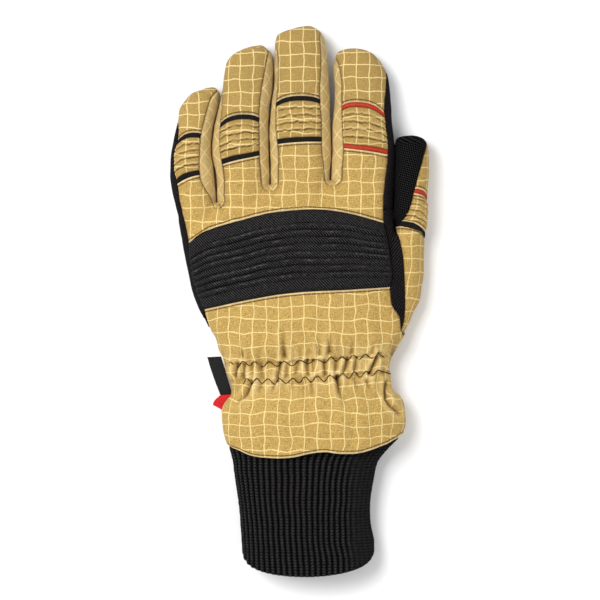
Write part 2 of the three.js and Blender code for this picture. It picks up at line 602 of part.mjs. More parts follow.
// The backs of the fingers: tip, stripe, tucked pad, stripe
FINGERS.forEach((finger) => {
  const { name, upper, lower, length, rootY } = finger;
  const pastTip = rootY + length + CLEAR;
  const edges = [
    stripeEdge(finger, upper, 0),
    stripeEdge(finger, upper, STRIPE_WIDTH),
    stripeEdge(finger, lower, 0),
    stripeEdge(finger, lower, STRIPE_WIDTH),
  ];
  const tip = rootY + length;
  const tipOutline = [
    ...edges[0],
    ...seamPoints(finger, "right", last(edges[0]).y, tip, 4),
    new THREE.Vector2(seamX(finger, "right", tip), pastTip),
    new THREE.Vector2(seamX(finger, "left", tip), pastTip),
    ...seamPoints(finger, "left", tip, first(edges[0]).y, 4),
  ];
  cutPiece(`${name}_tip_back`, "khaki", tipOutline, FINGER_EQUATOR_Z);
  const bands = [
    { part: "upper_stripe", colour: upper.colour, top: edges[0], bottom: edges[1] },
    { part: "knuckle_pad", colour: "khaki", top: edges[1], bottom: edges[2] },
    { part: "lower_stripe", colour: lower.colour, top: edges[2], bottom: edges[3] },
  ];
  bands.forEach(({ part, colour, top, bottom }) => {
    const steps = part === "knuckle_pad" ? 2 : 1;
    const outline = [
      ...bottom,
      ...seamPoints(finger, "right", last(bottom).y, last(top).y, steps),
      ...[...top].reverse(),
      ...seamPoints(finger, "left", first(top).y, first(bottom).y, steps),
    ];
    if (part === "knuckle_pad")
      cutRaisedPiece(`${name}_${part}`, colour, outline, tuckedTube(finger), FINGER_EQUATOR_Z);
    else cutPiece(`${name}_${part}`, colour, outline, FINGER_EQUATOR_Z);
  });
});

// The U-shaped seam round a web, from the left finger to the right one
const webStartY = (i) => webEndY(webX(i)) - WEB_FOLD + WEB_DEPTH;
function webSeam(i) {
  const y = webStartY(i);
  const [from, to] = [seamX(FINGERS[i], "right", y), seamX(FINGERS[i + 1], "left", y)];
  return Array.from({ length: 5 }, (_, k) => {
    const angle = (Math.PI * k) / 4;
    return new THREE.Vector2((from + to) / 2 - ((to - from) / 2) * Math.cos(angle), y - WEB_DEPTH * Math.sin(angle));
  });
}
const guardTop = curvePoints(GUARD_TOP, 7);
const guardBottom = curvePoints(GUARD_BOTTOM, 6);
const guardLeft = curvePoints(GUARD_LEFT, 3);
const guardRight = curvePoints(GUARD_RIGHT, 3);
const handBack = [];
FINGERS.forEach((finger, i) => {
  const edge = stripeEdge(finger, finger.lower, STRIPE_WIDTH);
  if (i > 0) handBack.push(...seamPoints(finger, "left", webStartY(i - 1), first(edge).y, 2));
  handBack.push(...edge);
  const downTo = i < 3 ? webStartY(i) : finger.rootY + WEB_DEPTH;
  handBack.push(...seamPoints(finger, "right", last(edge).y, downTo, 2));
  if (i < 3) handBack.push(...webSeam(i));
});
const littleEdge = first(stripeEdge(FINGERS[0], FINGERS[0].lower, STRIPE_WIDTH)).y;
handBack.push(...[...guardTop].reverse());
handBack.push(...seamPoints(FINGERS[0], "left", FINGERS[0].rootY, littleEdge, 3));
cutPiece("hand_back_panel", "khaki", handBack, SIDE_SEAM_Z);

// The padded guard stands above the cloth, which it replaces there
function guardBlank() {
  const [columns, rows] = [8, 2 * GUARD_RIDGES + 4];
  const at = (points, share) => new THREE.SplineCurve(points.map(handPoint)).getPoint(share);
  const ring = (v) => {
    const top = [];
    for (let i = 0; i <= columns; i += 1) {
      const u = i / columns;
      const [upperEdge, lowerEdge] = [at(GUARD_TOP, u), at(GUARD_BOTTOM, u)];
      const y = upperEdge.y + (lowerEdge.y - upperEdge.y) * v;
      const [left, right] = [at(GUARD_LEFT, v).x, at(GUARD_RIGHT, v).x];
      const x = left + (right - left) * u;
      const inRidges = v > GUARD_PLAIN && v < 1 - GUARD_PLAIN;
      const ridge = inRidges ? GUARD_RIDGE_RISE * (Math.round(v * rows) % 2 ? 1 : 0) : 0;
      const fill = Math.min(1, 12 * Math.min(u, 1 - u), 8 * Math.min(v, 1 - v));
      top.push([x, y, handTop(x, y) + GUARD_EDGE + (GUARD_PAD - GUARD_EDGE) * fill + ridge]);
    }
    const base = top.map(([x, y]) => [x, y, SIDE_SEAM_Z]);
    return [...top.reverse(), ...base];
  };
  const rings = Array.from({ length: rows + 1 }, (_, i) => ring(1 - i / rows));
  return skin(rings);
}
const guardOutline = [...guardBottom, ...[...guardRight].reverse(), ...[...guardTop].reverse(), ...guardLeft];
cutRaisedPiece("knuckle_guard", "guard", guardOutline, guardBlank(), SIDE_SEAM_Z);

// The gauntlet's back, from the guard to the hem
const bandLeft = curvePoints(BAND_LEFT, 4);
const bandRight = curvePoints(BAND_RIGHT, 6);
const hem = curvePoints(HEM, 9);
const stripEnd = handPoint(PALM_EDGE_END);
const wristBack = [
  ...guardBottom,
  ...bandLeft,
  new THREE.Vector2(handX(BEYOND), last(bandLeft).y + CLEAR),
  new THREE.Vector2(handX(BEYOND), last(hem).y),
  ...[...hem].reverse(),
  new THREE.Vector2(handX(-BEYOND), first(hem).y),
  new THREE.Vector2(handX(-BEYOND), stripEnd.y),
  stripEnd,
];
cutRaisedPiece("wrist_back_panel", "khaki", wristBack, gatheredBody(), SIDE_SEAM_Z);

// The side walls between the fingers, each one strip down one finger, round the web and up the next
function seamEndY(finger, side) {
  let at = 1;
  const column = side === "left" ? "seamLeft" : "seamRight";
  while (at > 0.5 && Math.abs(along(finger.rows, column, at)) > 1.04) at -= 0.004;
  return finger.rootY + at * finger.length;
}
["little_ring", "ring_middle", "middle_index"].forEach((name, i) => {
  const [leftFinger, rightFinger] = [FINGERS[i], FINGERS[i + 1]];
  const outline = [
    ...seamPoints(leftFinger, "right", seamEndY(leftFinger, "right"), webStartY(i), 4),
    ...webSeam(i),
    ...seamPoints(rightFinger, "left", webStartY(i), seamEndY(rightFinger, "left"), 4),
  ];
  cutPiece(`fourchette_${name}`, "khaki", outline);
});

// The thumb: its khaki back is cut off along the seam down its side, and the base runs on to the wrist
const beyondThumb = THUMB.x + THUMB.width;
const thumbEdges = [
  stripeEdge(THUMB, THUMB.upper, 0, (y) => edgeX(THUMB, "right", y)),
  stripeEdge(THUMB, THUMB.upper, STRIPE_WIDTH, (y) => edgeX(THUMB, "right", y)),
  stripeEdge(THUMB, THUMB.lower, 0, (y) => edgeX(THUMB, "right", y)),
  stripeEdge(THUMB, THUMB.lower, STRIPE_WIDTH, (y) => edgeX(THUMB, "right", y)),
];
function offEdge(edge) {
  const { x, y } = last(edge);
  return new THREE.Vector2(beyondThumb, y - (beyondThumb - x) * THUMB_STRIPE_SLOPE);
}
const thumbSeamTop = THUMB.rootY + THUMB.length * 0.975;
cutPiece("thumb_tip_back", "khaki", [
  ...thumbEdges[0],
  offEdge(thumbEdges[0]),
  new THREE.Vector2(beyondThumb, thumbSeamTop),
  ...seamPoints(THUMB, "left", thumbSeamTop, first(thumbEdges[0]).y, 5),
]);
[
  { part: "upper_stripe", colour: "red", top: thumbEdges[0], bottom: thumbEdges[1] },
  { part: "knuckle_pad", colour: "khaki", top: thumbEdges[1], bottom: thumbEdges[2] },
  { part: "lower_stripe", colour: "black", top: thumbEdges[2], bottom: thumbEdges[3] },
].forEach(({ part, colour, top, bottom }) => {
  const outline = [
    ...bottom,
    offEdge(bottom),
    offEdge(top),
    ...[...top].reverse(),
    ...seamPoints(THUMB, "left", first(top).y, first(bottom).y, 2),
  ];
  if (part === "knuckle_pad") cutRaisedPiece(`thumb_${part}`, colour, outline, tuckedTube(THUMB));
  else cutPiece(`thumb_${part}`, colour, outline);
});
cutPiece("thumb_base", "khaki", [
  ...bandRight,
  ...thumbEdges[3],
  offEdge(thumbEdges[3]),
  new THREE.Vector2(beyondThumb, first(bandRight).y + CLEAR),
]);

// The palm sides: one for each finger, the gauntlet's front, the thumb's front, and the palm itself
const underWeb = (i) => new THREE.Vector2(webSeam(i)[2].x, webSeam(i)[2].y - WEB_FOLD);
const frontCorners = [
  new THREE.Vector2(handX(-BEYOND), underWeb(0).y),
  ...[0, 1, 2].map(underWeb),
  new THREE.Vector2(indexEdge + THUMB_FROM_INDEX / 2, underWeb(2).y),
];
FINGERS.forEach(({ name, rootY, length }, i) => {
  const [left, right] = [frontCorners[i], frontCorners[i + 1]];
  const past = rootY + length + CLEAR;
  cutPiece(`${name}_front`, "black", [
    left,
    right,
    new THREE.Vector2(right.x, past),
    new THREE.Vector2(left.x, past),
  ]);
});
cutPiece("wrist_front_panel", "khaki", [
  new THREE.Vector2(handX(-BEYOND), PALM_SEAM_Y),
  new THREE.Vector2(handX(BEYOND), PALM_SEAM_Y),
  new THREE.Vector2(handX(BEYOND), last(hem).y),
  ...[...hem].reverse(),
  new THREE.Vector2(handX(-BEYOND), first(hem).y),
], BELOW, SIDE_SEAM_Z - SEAM_GAP);
const thumbCrotch = first(thumbEdges[3]);
cutPiece("thumb_front", "black", [
  new THREE.Vector2(indexEdge + THUMB_FROM_INDEX / 2, thumbCrotch.y),
  new THREE.Vector2(beyondThumb, thumbCrotch.y),
  new THREE.Vector2(beyondThumb, THUMB.rootY + THUMB.length + CLEAR),
  new THREE.Vector2(indexEdge + THUMB_FROM_INDEX / 2, THUMB.rootY + THUMB.length + CLEAR),
]);
pieces.push({ name: "palm_panel", colour: "black", solid: mainBody(cloth) });

// The knitted cuff, ribbed outside, which starts inside the hem and bows out at its end
function cuffBody(inset, sides, past) {
  const ribbed = inset === 0;
  const rings = CUFF_SECTIONS.map((row, i) => {
    const end = i === 0 ? past : i === CUFF_SECTIONS.length - 1 ? -past : 0;
    const crown = row.high * CUFF_HEIGHT;
    const floor = row.raised * (CLOTH_WALL + SEAM_GAP);
    const equator = floor + (crown - floor) * HAND_EQUATOR;
    const section = {
      left: CUFF_MIDDLE_X + row.left * CUFF_WIDTH + inset,
      right: CUFF_MIDDLE_X + row.right * CUFF_WIDTH - inset,
      crown: crown - inset,
      equator,
      floor: floor + inset,
      y: (x, s) => CUFF_TOP_Y - row.at * CUFF_LENGTH - CUFF_BOW * row.at ** 2 * s ** 0.7 + end,
    };
    const ring = softRing(section, sides, sides);
    if (!ribbed) return ring;
    return ring.map(([x, y, z], j) => {
      const inward = j % 2 ? RIB_DEPTH : 0;
      const out = new THREE.Vector2(x - (section.left + section.right) / 2, (z - equator) * 2).normalize();
      return [x - out.x * inward, y, Math.max(z - out.y * inward, z > equator ? 0 : z)];
    });
  });
  return skin(rings.reverse());
}
const cuff = cuffBody(0, CUFF_RIBS, 0).subtract(cuffBody(CUFF_WALL, CUFF_HOLLOW_SIDES, CLEAR));
pieces.push({ name: "knit_cuff", colour: "knit", solid: mainBody(cuff) });

// Label and tab: flat tape that stands out of the side seam
function tapePiece(name, colour, rows) {
  const gauntletX = (share) => handX(along(HAND_SECTIONS, "left", share)) - SEAM_GAP;
  const [top, bottom] = [first(rows).along, last(rows).along];
  const inner = Array.from({ length: TAPE_STEPS + 1 }, (_, i) => {
    const share = top + ((bottom - top) * i) / TAPE_STEPS;
    return new THREE.Vector2(gauntletX(share), handY(share));
  });
  const outer = rows.map((row) => new THREE.Vector2(gauntletX(row.along) - handX(row.out), handY(row.along)));
  const z = SIDE_SEAM_Z - TAPE_THICKNESS / 2;
  pieces.push({ name, colour, solid: prism([...inner, ...outer.reverse()], z, z + TAPE_THICKNESS) });
}
tapePiece("side_label", "black", LABEL_EDGE);
tapePiece("red_tab", "red", TAB_EDGE);

const glove = new THREE.Group();
glove.name = "firefighter_glove";
pieces.forEach(({ name, colour, solid }) => {
  const { vertProperties, triVerts, numProp } = solid.getMesh();
  const positions = new Float32Array((vertProperties.length / numProp) * 3);
  for (let i = 0; i < positions.length / 3; i += 1)
    positions.set(vertProperties.subarray(i * numProp, i * numProp + 3), i * 3);
  const geometry = new THREE.BufferGeometry();
  geometry.setAttribute("position", new THREE.BufferAttribute(positions, 3));
  geometry.setIndex(new THREE.BufferAttribute(triVerts, 1));
  const mesh = new THREE.Mesh(geometry, new THREE.MeshStandardMaterial(CLOTH_COLOURS[colour]));
  mesh.name = name;
  glove.add(mesh);
});

export default glove;
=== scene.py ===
"""Looks of a firefighter's glove: cloth pieces, seams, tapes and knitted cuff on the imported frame."""
import bisect
import math
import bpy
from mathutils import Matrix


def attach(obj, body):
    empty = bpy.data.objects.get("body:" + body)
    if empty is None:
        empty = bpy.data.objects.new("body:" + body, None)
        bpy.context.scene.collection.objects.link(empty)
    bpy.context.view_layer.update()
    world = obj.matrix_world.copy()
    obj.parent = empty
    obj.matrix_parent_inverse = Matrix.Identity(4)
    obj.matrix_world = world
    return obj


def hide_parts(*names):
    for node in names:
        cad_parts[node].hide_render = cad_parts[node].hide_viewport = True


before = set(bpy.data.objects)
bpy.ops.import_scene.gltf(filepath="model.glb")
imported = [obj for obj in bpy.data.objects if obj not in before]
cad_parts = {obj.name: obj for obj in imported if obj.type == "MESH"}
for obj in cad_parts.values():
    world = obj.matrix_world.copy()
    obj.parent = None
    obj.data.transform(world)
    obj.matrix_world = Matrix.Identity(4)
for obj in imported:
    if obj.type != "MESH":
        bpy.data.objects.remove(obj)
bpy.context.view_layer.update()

from types import SimpleNamespace

import bmesh
import bpy
from mathutils import Vector, noise

MM = 0.001

# ---------------------------------------------------------------------------------------------
# Sizes in mm, as in the part
# ---------------------------------------------------------------------------------------------
CLOTH = 1.0
SEAM_ROLL = 0.6  # how deep a sewn edge rolls in
ROLL_WIDTH = 1.5
STITCH_FROM_FOLD = 1.5
HEM_Y = -92
HAND_LENGTH = 151
PALM_WIDTH = 119
HAND_HEIGHT = 31
HAND_EQUATOR = 0.4
WEB_FALL = 11
WEB_CLOSING = 6
# y of each slit's end and how deep the U of its side wall reaches below
WEBS = ((49.8, 3.3), (59.4, 4.1), (61.9, 3.4))
WEB_CREST = 20.3
WRIST_LIFT = 2.5
PALM_SEAM_Y = -20
FINGER_ROOT = 22
FINGER_HEIGHT = 20.5
FINGER_EQUATOR = 9
FINGER_ARCH = 3
STRIPE_WIDTH = 2.4
TOP_POWER = 2.3
FLOOR_POWER = 3
FLAT_SHARE = 1.07
GUARD_PAD = 2.4
GUARD_RIDGES = 8
GUARD_RIDGE_RISE = 2.2
CUFF_TOP_Y = -81
CUFF_LENGTH = 61
CUFF_BOW = 14
CUFF_WIDTH = 75
CUFF_HEIGHT = 27
CUFF_MIDDLE_X = 7.5
RIPSTOP_SQUARE = 7.2
KNIT_RIB = 3.2
KNIT_ROW = 1.6
LABEL_THICKNESS = 0.9
CUFF_THICKNESS = 2.0
THREAD_RADIUS = 0.3
BAND_TOP_Y = 33  # above it the palm's edge is the index finger's side
FREE_LEFT_Y = -18.8  # below it the gauntlet's left side is its own curve
FREE_RIGHT_Y = -25
# the edge of a finger's column: shares of its run to the slit's end and round the U
SLIT_PART = 0.42
SEAM_PART = 0.7
# the photograph's middle and scale
PHOTO_MIDDLE = 292
MM_A_PIXEL = 0.55

# at, left, right, high: shares of the hand's length, the palm's width and the hand's height
HAND = [
    (0.0, -0.282, 0.481, 0.97), (0.06, -0.302, 0.508, 1.0), (0.14, -0.324, 0.527, 1.04),
    (0.216, -0.3, 0.511, 0.98), (0.245, -0.282, 0.474, 0.93), (0.296, -0.295, 0.457, 0.84),
    (0.322, -0.308, 0.453, 0.86), (0.347, -0.313, 0.453, 0.84), (0.373, -0.321, 0.467, 0.89),
    (0.398, -0.337, 0.481, 0.94), (0.434, -0.353, 0.505, 0.98), (0.533, -0.421, 0.518, 1.0),
    (0.598, -0.456, 0.515, 1.0), (0.682, -0.481, 0.508, 0.99), (0.77, -0.504, 0.497, 0.94),
    (0.893, -0.526, 0.477, 0.82), (1.0, -0.515, 0.472, 0.7),
]
# at, lift off the table as a share
LIFT = [(0.0, 0), (0.14, 0), (0.216, 0.5), (0.296, 1), (0.347, 1), (0.398, 0.3), (0.434, 0), (1.0, 0)]
# at, left, right, high, left seam, right seam: a seam past 1 has gone over the edge
LITTLE = [
    (0.0, -0.34, 0.54, 0.9, -0.75, 0.95), (0.15, -0.47, 0.532, 0.98, -0.76, 0.91),
    (0.3, -0.57, 0.507, 1, -0.72, 0.44), (0.4, -0.587, 0.475, 1, -0.79, 0.37),
    (0.53, -0.562, 0.412, 1, -0.8, 0.44), (0.66, -0.477, 0.44, 0.98, -0.82, 0.45),
    (0.76, -0.4, 0.5, 0.95, -1.04, 0.48), (0.84, -0.362, 0.565, 0.9, -1.15, 0.51),
    (0.91, -0.22, 0.6, 0.82, -1.15, 0.55), (0.955, -0.075, 0.62, 0.7, -1.15, 0.7),
    (0.985, 0.2, 0.56, 0.45, -1.15, 1.08), (1.0, 0.45, 0.45, 0, -1.15, 1.15),
]
RING = [
    (0.0, -0.42, 0.48, 0.95, -0.73, 0.75), (0.15, -0.452, 0.491, 1, -0.73, 0.75),
    (0.27, -0.471, 0.499, 1, -0.72, 0.72), (0.4, -0.544, 0.486, 1, -0.71, 0.68),
    (0.53, -0.511, 0.477, 1, -0.78, 0.67), (0.66, -0.418, 0.504, 0.98, -0.9, 0.62),
    (0.76, -0.349, 0.55, 0.96, -1.06, 0.6), (0.84, -0.327, 0.566, 0.93, -1.12, 0.66),
    (0.91, -0.275, 0.558, 0.86, -1.12, 0.76), (0.955, -0.14, 0.54, 0.72, -1.12, 0.85),
    (0.985, 0.07, 0.43, 0.45, -1.12, 1.1), (1.0, 0.33, 0.33, 0, -1.12, 1.12),
]
MIDDLE = [
    (0.0, -0.49, 0.48, 0.95, -0.76, 0.83), (0.12, -0.491, 0.483, 1, -0.76, 0.83),
    (0.24, -0.483, 0.472, 1, -0.76, 0.83), (0.36, -0.493, 0.499, 1, -0.74, 0.71),
    (0.48, -0.502, 0.479, 1, -0.79, 0.71), (0.6, -0.472, 0.476, 0.99, -0.85, 0.67),
    (0.7, -0.426, 0.461, 0.97, -0.89, 0.67), (0.78, -0.424, 0.443, 0.95, -0.88, 0.75),
    (0.86, -0.424, 0.424, 0.92, -0.9, 0.79), (0.92, -0.404, 0.392, 0.86, -1.05, 0.83),
    (0.96, -0.347, 0.347, 0.74, -1.12, 0.93), (0.985, -0.13, 0.271, 0.45, -1.12, 1.1),
    (1.0, 0.13, 0.13, 0, -1.12, 1.12),
]
INDEX = [
    (0.0, -0.485, 0.485, 0.95, -0.68, 0.69), (0.14, -0.495, 0.496, 1, -0.68, 0.66),
    (0.28, -0.504, 0.509, 1, -0.68, 0.73), (0.42, -0.484, 0.509, 1, -0.66, 0.78),
    (0.55, -0.482, 0.474, 0.99, -0.68, 0.76), (0.66, -0.458, 0.453, 0.97, -0.75, 0.76),
    (0.76, -0.445, 0.432, 0.95, -0.77, 0.86), (0.85, -0.461, 0.394, 0.92, -0.77, 0.97),
    (0.91, -0.461, 0.302, 0.86, -0.84, 1.1), (0.955, -0.432, 0.199, 0.74, -1.05, 1.12),
    (0.985, -0.366, 0.08, 0.48, -1.12, 1.12), (1.0, -0.15, -0.15, 0, -1.12, 1.12),
]
THUMB_SHAPE = [
    (0.0, -1.4, -0.4, 0.72, 0.9), (0.1, -1.38, 0.04, 0.78, 0.5), (0.2, -1.25, 0.244, 0.84, 0.3),
    (0.3, -1.09, 0.335, 0.88, 0.1), (0.44, -0.75, 0.37, 0.93, -0.2), (0.54, -0.48, 0.4, 0.97, -1.02),
    (0.6, -0.52, 0.415, 1, -0.3), (0.655, -0.525, 0.44, 1, -0.02), (0.72, -0.525, 0.465, 1, 0.17),
    (0.82, -0.525, 0.505, 0.98, 0.45), (0.92, -0.52, 0.5, 0.92, 0.8), (0.965, -0.49, 0.43, 0.78, 1.02),
    (0.988, -0.41, 0.29, 0.5, 1.1), (1.0, 0, 0, 0, 1.1),
]
# name, line x, length, width, shape, upper and lower stripe (at, rise, bow), tape of the stripes
FINGER_TABLE = [
    ("little", -53.9, 75.9, 22.5, LITTLE, (0.657, 0.09, 0.09), (0.368, 0.11, 0.035), "black_cloth"),
    ("ring", -27.5, 99.2, 30.3, RING, (0.606, 0.05, 0.095), (0.385, 0.08, 0.008), "black_cloth"),
    ("middle", 4.7, 109.9, 34.1, MIDDLE, (0.641, 0.027, 0.073), (0.434, 0.02, 0.011), "black_cloth"),
    ("index", 39.05, 97.6, 34.6, INDEX, (0.685, -0.064, 0.11), (0.44, -0.05, 0.01), "red_tape"),
]
# across, along: shares of the palm's width and the hand's length
GUARD_TOP = [
    (-0.478, 0.787), (-0.407, 0.828), (-0.256, 0.866), (-0.105, 0.896), (0.092, 0.909), (0.245, 0.897),
    (0.425, 0.861),
]
GUARD_BOTTOM = [(-0.406, 0.546), (-0.282, 0.568), (-0.105, 0.595), (0.037, 0.609), (0.245, 0.617), (0.453, 0.628)]
GUARD_LEFT = [(-0.478, 0.787), (-0.468, 0.716), (-0.446, 0.629), (-0.406, 0.546)]
GUARD_RIGHT = [(0.425, 0.861), (0.446, 0.771), (0.463, 0.672), (0.453, 0.628)]
BAND_LEFT = [(0.453, 0.628), (0.458, 0.58), (0.467, 0.555), (0.499, 0.517), (0.506, 0.469)]
BAND_RIGHT = [
    (0.506, 0.469), (0.52, 0.507), (0.523, 0.573), (0.52, 0.653), (0.511, 0.74), (0.496, 0.791), (0.478, 0.828),
]
HEM = [
    (-0.33, 0.062), (-0.27, 0.038), (-0.2, 0.015), (-0.09, 0.006), (0.0, 0.01), (0.07, 0.022), (0.15, 0.029),
    (0.22, 0.023), (0.31, 0.025), (0.39, 0.042), (0.48, 0.072), (0.54, 0.11),
]
# at, left, right, high, raised
CUFF = [
    (0.0, -0.56, 0.68, 0.86, 1.3), (0.1, -0.553, 0.6, 0.9, 1.2), (0.2, -0.532, 0.535, 0.94, 1.0),
    (0.34, -0.518, 0.506, 0.96, 0.2), (0.55, -0.492, 0.478, 0.96, 0), (0.75, -0.476, 0.477, 0.98, 0),
    (0.92, -0.466, 0.503, 1.0, 0), (1.0, -0.462, 0.505, 0.98, 0),
]


def smooth_table(rows, round_end=False):
    """The columns of a table as smooth curves over its first one; a round end closes like a dome."""
    def key_of(at):
        return -math.sqrt(max(1 - at, 0)) if round_end else at

    keys = [key_of(row[0]) for row in rows]
    last = len(rows) - 1

    def value(column, at):
        key = min(max(key_of(at), keys[0]), keys[-1])
        i = min(max(bisect.bisect_right(keys, key) - 1, 0), last - 1)
        a, b = rows[i][column], rows[i + 1][column]
        before, after = max(i - 1, 0), min(i + 2, last)
        span = keys[i + 1] - keys[i]
        slope_a = (b - rows[before][column]) / (keys[i + 1] - keys[before]) * span
        slope_b = (rows[after][column] - a) / (keys[after] - keys[i]) * span
        t = (key - keys[i]) / span
        return (
            (1 + 2 * t) * (1 - t) ** 2 * a + t * (1 - t) ** 2 * slope_a
            + t * t * (3 - 2 * t) * b + t * t * (t - 1) * slope_b
        )

    return value


def curve_of(points):
    """A smooth line through points of the plan, by share of its run."""
    run = [0.0]
    for (ax, ay), (bx, by) in zip(points, points[1:]):
        run.append(run[-1] + math.hypot(bx - ax, by - ay))
    table = smooth_table([(s / run[-1], x, y) for s, (x, y) in zip(run, points)])
    return lambda share: (table(1, share), table(2, share))


def hand_place(pair):
    return pair[0] * PALM_WIDTH, HEM_Y + pair[1] * HAND_LENGTH


def lerp(a, b, t):
    return a + (b - a) * t


def smooth_max(a, b, reach):
    near = max(reach - abs(a - b), 0) / reach
    return max(a, b) + near * near * reach / 4


def bump(distance, width):
    return math.exp(-(distance / width) ** 2)


# y, x of the gauntlet's two sides
LEFT_SIDE = [
    (-92, -33.2), (-86.4, -34.9), (-83.3, -36), (-77, -37.7), (-71, -38.6), (-67.7, -38.8), (-64.4, -38.6),
    (-61.4, -37.3), (-58.9, -35.4), (-57.4, -33.9), (-54.8, -33.5), (-49.8, -33.8), (-47.3, -35.1),
    (-43.5, -36.6), (-39.6, -37.3), (-35.9, -38.2), (-32.1, -40.2), (-27, -41.5), (-23.7, -42.8),
    (-20.9, -44.6), (-18.2, -45.9), (-16, -46.8), (-12.5, -49.5),
]
RIGHT_SIDE = [
    (-92, 60.5), (-80, 61.2), (-76.3, 61.6), (-74.6, 62.3), (-71, 62.7), (-65.8, 62.3), (-60.5, 61.4),
    (-57, 59.2), (-54.5, 55.9), (-50, 54.8), (-43.8, 53.9), (-39.5, 53.9), (-33.3, 56.5), (-26.4, 60.5),
    (-19.3, 63.6), (-16.2, 65.2), (-11.4, 67.1), (-3.7, 70.5), (8.1, 72.3),
]
left_side = smooth_table(LEFT_SIDE)
right_side = smooth_table(RIGHT_SIDE)
hand_shape = smooth_table(HAND)
hand_lift = smooth_table(LIFT)
knuckle_y = HEM_Y + HAND_LENGTH
fingers = []
for name, x, length, width, shape, upper, lower, tape in FINGER_TABLE:
    fingers.append(SimpleNamespace(
        name=name, x=x, length=length, width=width, shape=smooth_table(shape, True), upper=upper, lower=lower,
        tape=tape, root=knuckle_y - FINGER_ROOT, height=FINGER_HEIGHT, equator=FINGER_EQUATOR, arch=FINGER_ARCH,
    ))
thumb = SimpleNamespace(
    name="thumb", x=66.1, length=112.5, width=18.7, shape=smooth_table(THUMB_SHAPE, True), root=-26.03,
    upper=(0.723, -0.12, 0.045), lower=(0.562, -0.175, 0.095), height=22, equator=10, arch=0,
)
guard_top, guard_bottom, guard_left, guard_right, band_left, band_right = (
    curve_of([hand_place(p) for p in line])
    for line in (GUARD_TOP, GUARD_BOTTOM, GUARD_LEFT, GUARD_RIGHT, BAND_LEFT, BAND_RIGHT)
)
hem_table = smooth_table([hand_place(p) for p in HEM])


# ---------------------------------------------------------------------------------------------
# The glove's form
# ---------------------------------------------------------------------------------------------
def tube_ring(tube, y):
    at = min(max((y - tube.root) / tube.length, 0), 1)
    left = tube.x + tube.shape(1, at) * tube.width
    right = tube.x + tube.shape(2, at) * tube.width
    high = min(max(tube.shape(3, at), 0), 1)
    equator = tube.equator + tube.arch * math.sin(math.pi * min(at / 0.9, 1))
    return left, right, equator + (tube.height - tube.equator) * high, equator, equator - tube.equator * high


def soft_point(ring, y, angle):
    """A place on a soft ring: angle 0 is its right edge, pi its left, more is below."""
    left, right, crown, equator, floor = ring
    c, s = math.cos(angle), math.sin(angle)
    power = TOP_POWER if s >= 0 else FLOOR_POWER
    x = (left + right) / 2 + (right - left) / 2 * math.copysign(abs(c) ** (2 / power), c)
    rise = abs(s) ** (2 / power)
    if s >= 0:
        return Vector((x, y, equator + (crown - equator) * rise))
    return Vector((x, y, max(equator - (equator - floor) * FLAT_SHARE * rise, floor)))


def ring_top(ring, x):
    left, right, crown, equator, _ = ring
    half = max((right - left) / 2, 0.01)
    share = abs(x - (left + right) / 2) / half
    if share >= 1:
        return equator - 3 * (share - 1) * half
    return equator + (crown - equator) * (1 - share ** TOP_POWER) ** (1 / TOP_POWER)


def web_x(i):
    return fingers[i].x + fingers[i].width / 2


def web_end(x):
    share = min(max((web_x(2) - x) / (web_x(2) - web_x(0)), 0), 1.3)
    return knuckle_y - WEB_FALL * share ** 2


def hand_ring(y):
    at = (y - HEM_Y) / HAND_LENGTH
    crown = hand_shape(3, at) * HAND_HEIGHT
    floor = WRIST_LIFT * hand_lift(1, at)
    left, right = hand_shape(1, at) * PALM_WIDTH, hand_shape(2, at) * PALM_WIDTH
    return left, right, crown, floor + (crown - floor) * HAND_EQUATOR, floor


def closing(x, y):
    """How far the hand still stands open: 1 on the hand, 0 at the end of a web."""
    past = (y - (web_end(x) - WEB_CLOSING)) / WEB_CLOSING
    return 1.0 if past <= 0 else math.sqrt(max(1 - past * past, 0))


def hand_top(x, y):
    """The back of the hand, which falls softly to the fingers."""
    top = ring_top(hand_ring(min(y, knuckle_y)), x)
    end = web_end(x) + 2
    fall = min(max((y - end) / 16 + 1, 0), 1)
    return top - max(top - 17.5, 0) * fall * fall * (3 - 2 * fall) - 4 * max(y - end, 0)


def tube_top(tube, x, y):
    top = ring_top(tube_ring(tube, y), x)
    if y < tube.root:
        top -= (tube.root - y) * 0.6
    return top


def web_line(k):
    """The slit between two fingers: its x, the y of its end, the U's depth and its reach to left and right."""
    start, depth = WEBS[k]
    middle = (edge_x(fingers[k], "right", start) + edge_x(fingers[k + 1], "left", start)) / 2
    left = middle - seam_x(fingers[k], "right", start)
    right = seam_x(fingers[k + 1], "left", start) - middle
    return middle, start, depth, left, right


def web_crown(k, x, y):
    """The cloth round the end of a slit stays at the height of the back."""
    middle, start, depth, left, right = web_lines[k]
    if abs(x - middle) > 14 or y > start + 3 or y < start - 16:
        return 0
    across = (x - middle) / (left if x < middle else right)
    down = max((start - y) / depth, 0)
    reach = math.hypot(across, down)
    tube = fingers[k] if x < middle else fingers[k + 1]
    side = tube_top(tube, middle - left if x < middle else middle + right, start)
    return lerp(side, WEB_CREST, down / max(reach, 0.01)) - 1.1 * max(reach - 1, 0) - 1.5 * max(y - start, 0)


def back_height(x, y):
    """Height of the glove's back over a place of the plan."""
    height = hand_top(x, y)
    if 33 < y < 65:
        for k in range(3):
            height = smooth_max(height, web_crown(k, x, y), 1.5)
    if y > fingers[0].root - 12:
        for finger in fingers:
            if abs(x - finger.x) < finger.width:
                height = smooth_max(height, tube_top(finger, x, y), 2.0)
    if x > 30:
        height = smooth_max(height, tube_top(thumb, x, y), 5.0)
    return height


def edge_x(tube, side, y):
    ring = tube_ring(tube, y)
    return ring[0] if side == "left" else ring[1]


def seam_share(tube, side, y):
    at = min(max((y - tube.root) / tube.length, 0), 1)
    return tube.shape(4 if side == "left" else 5, at)


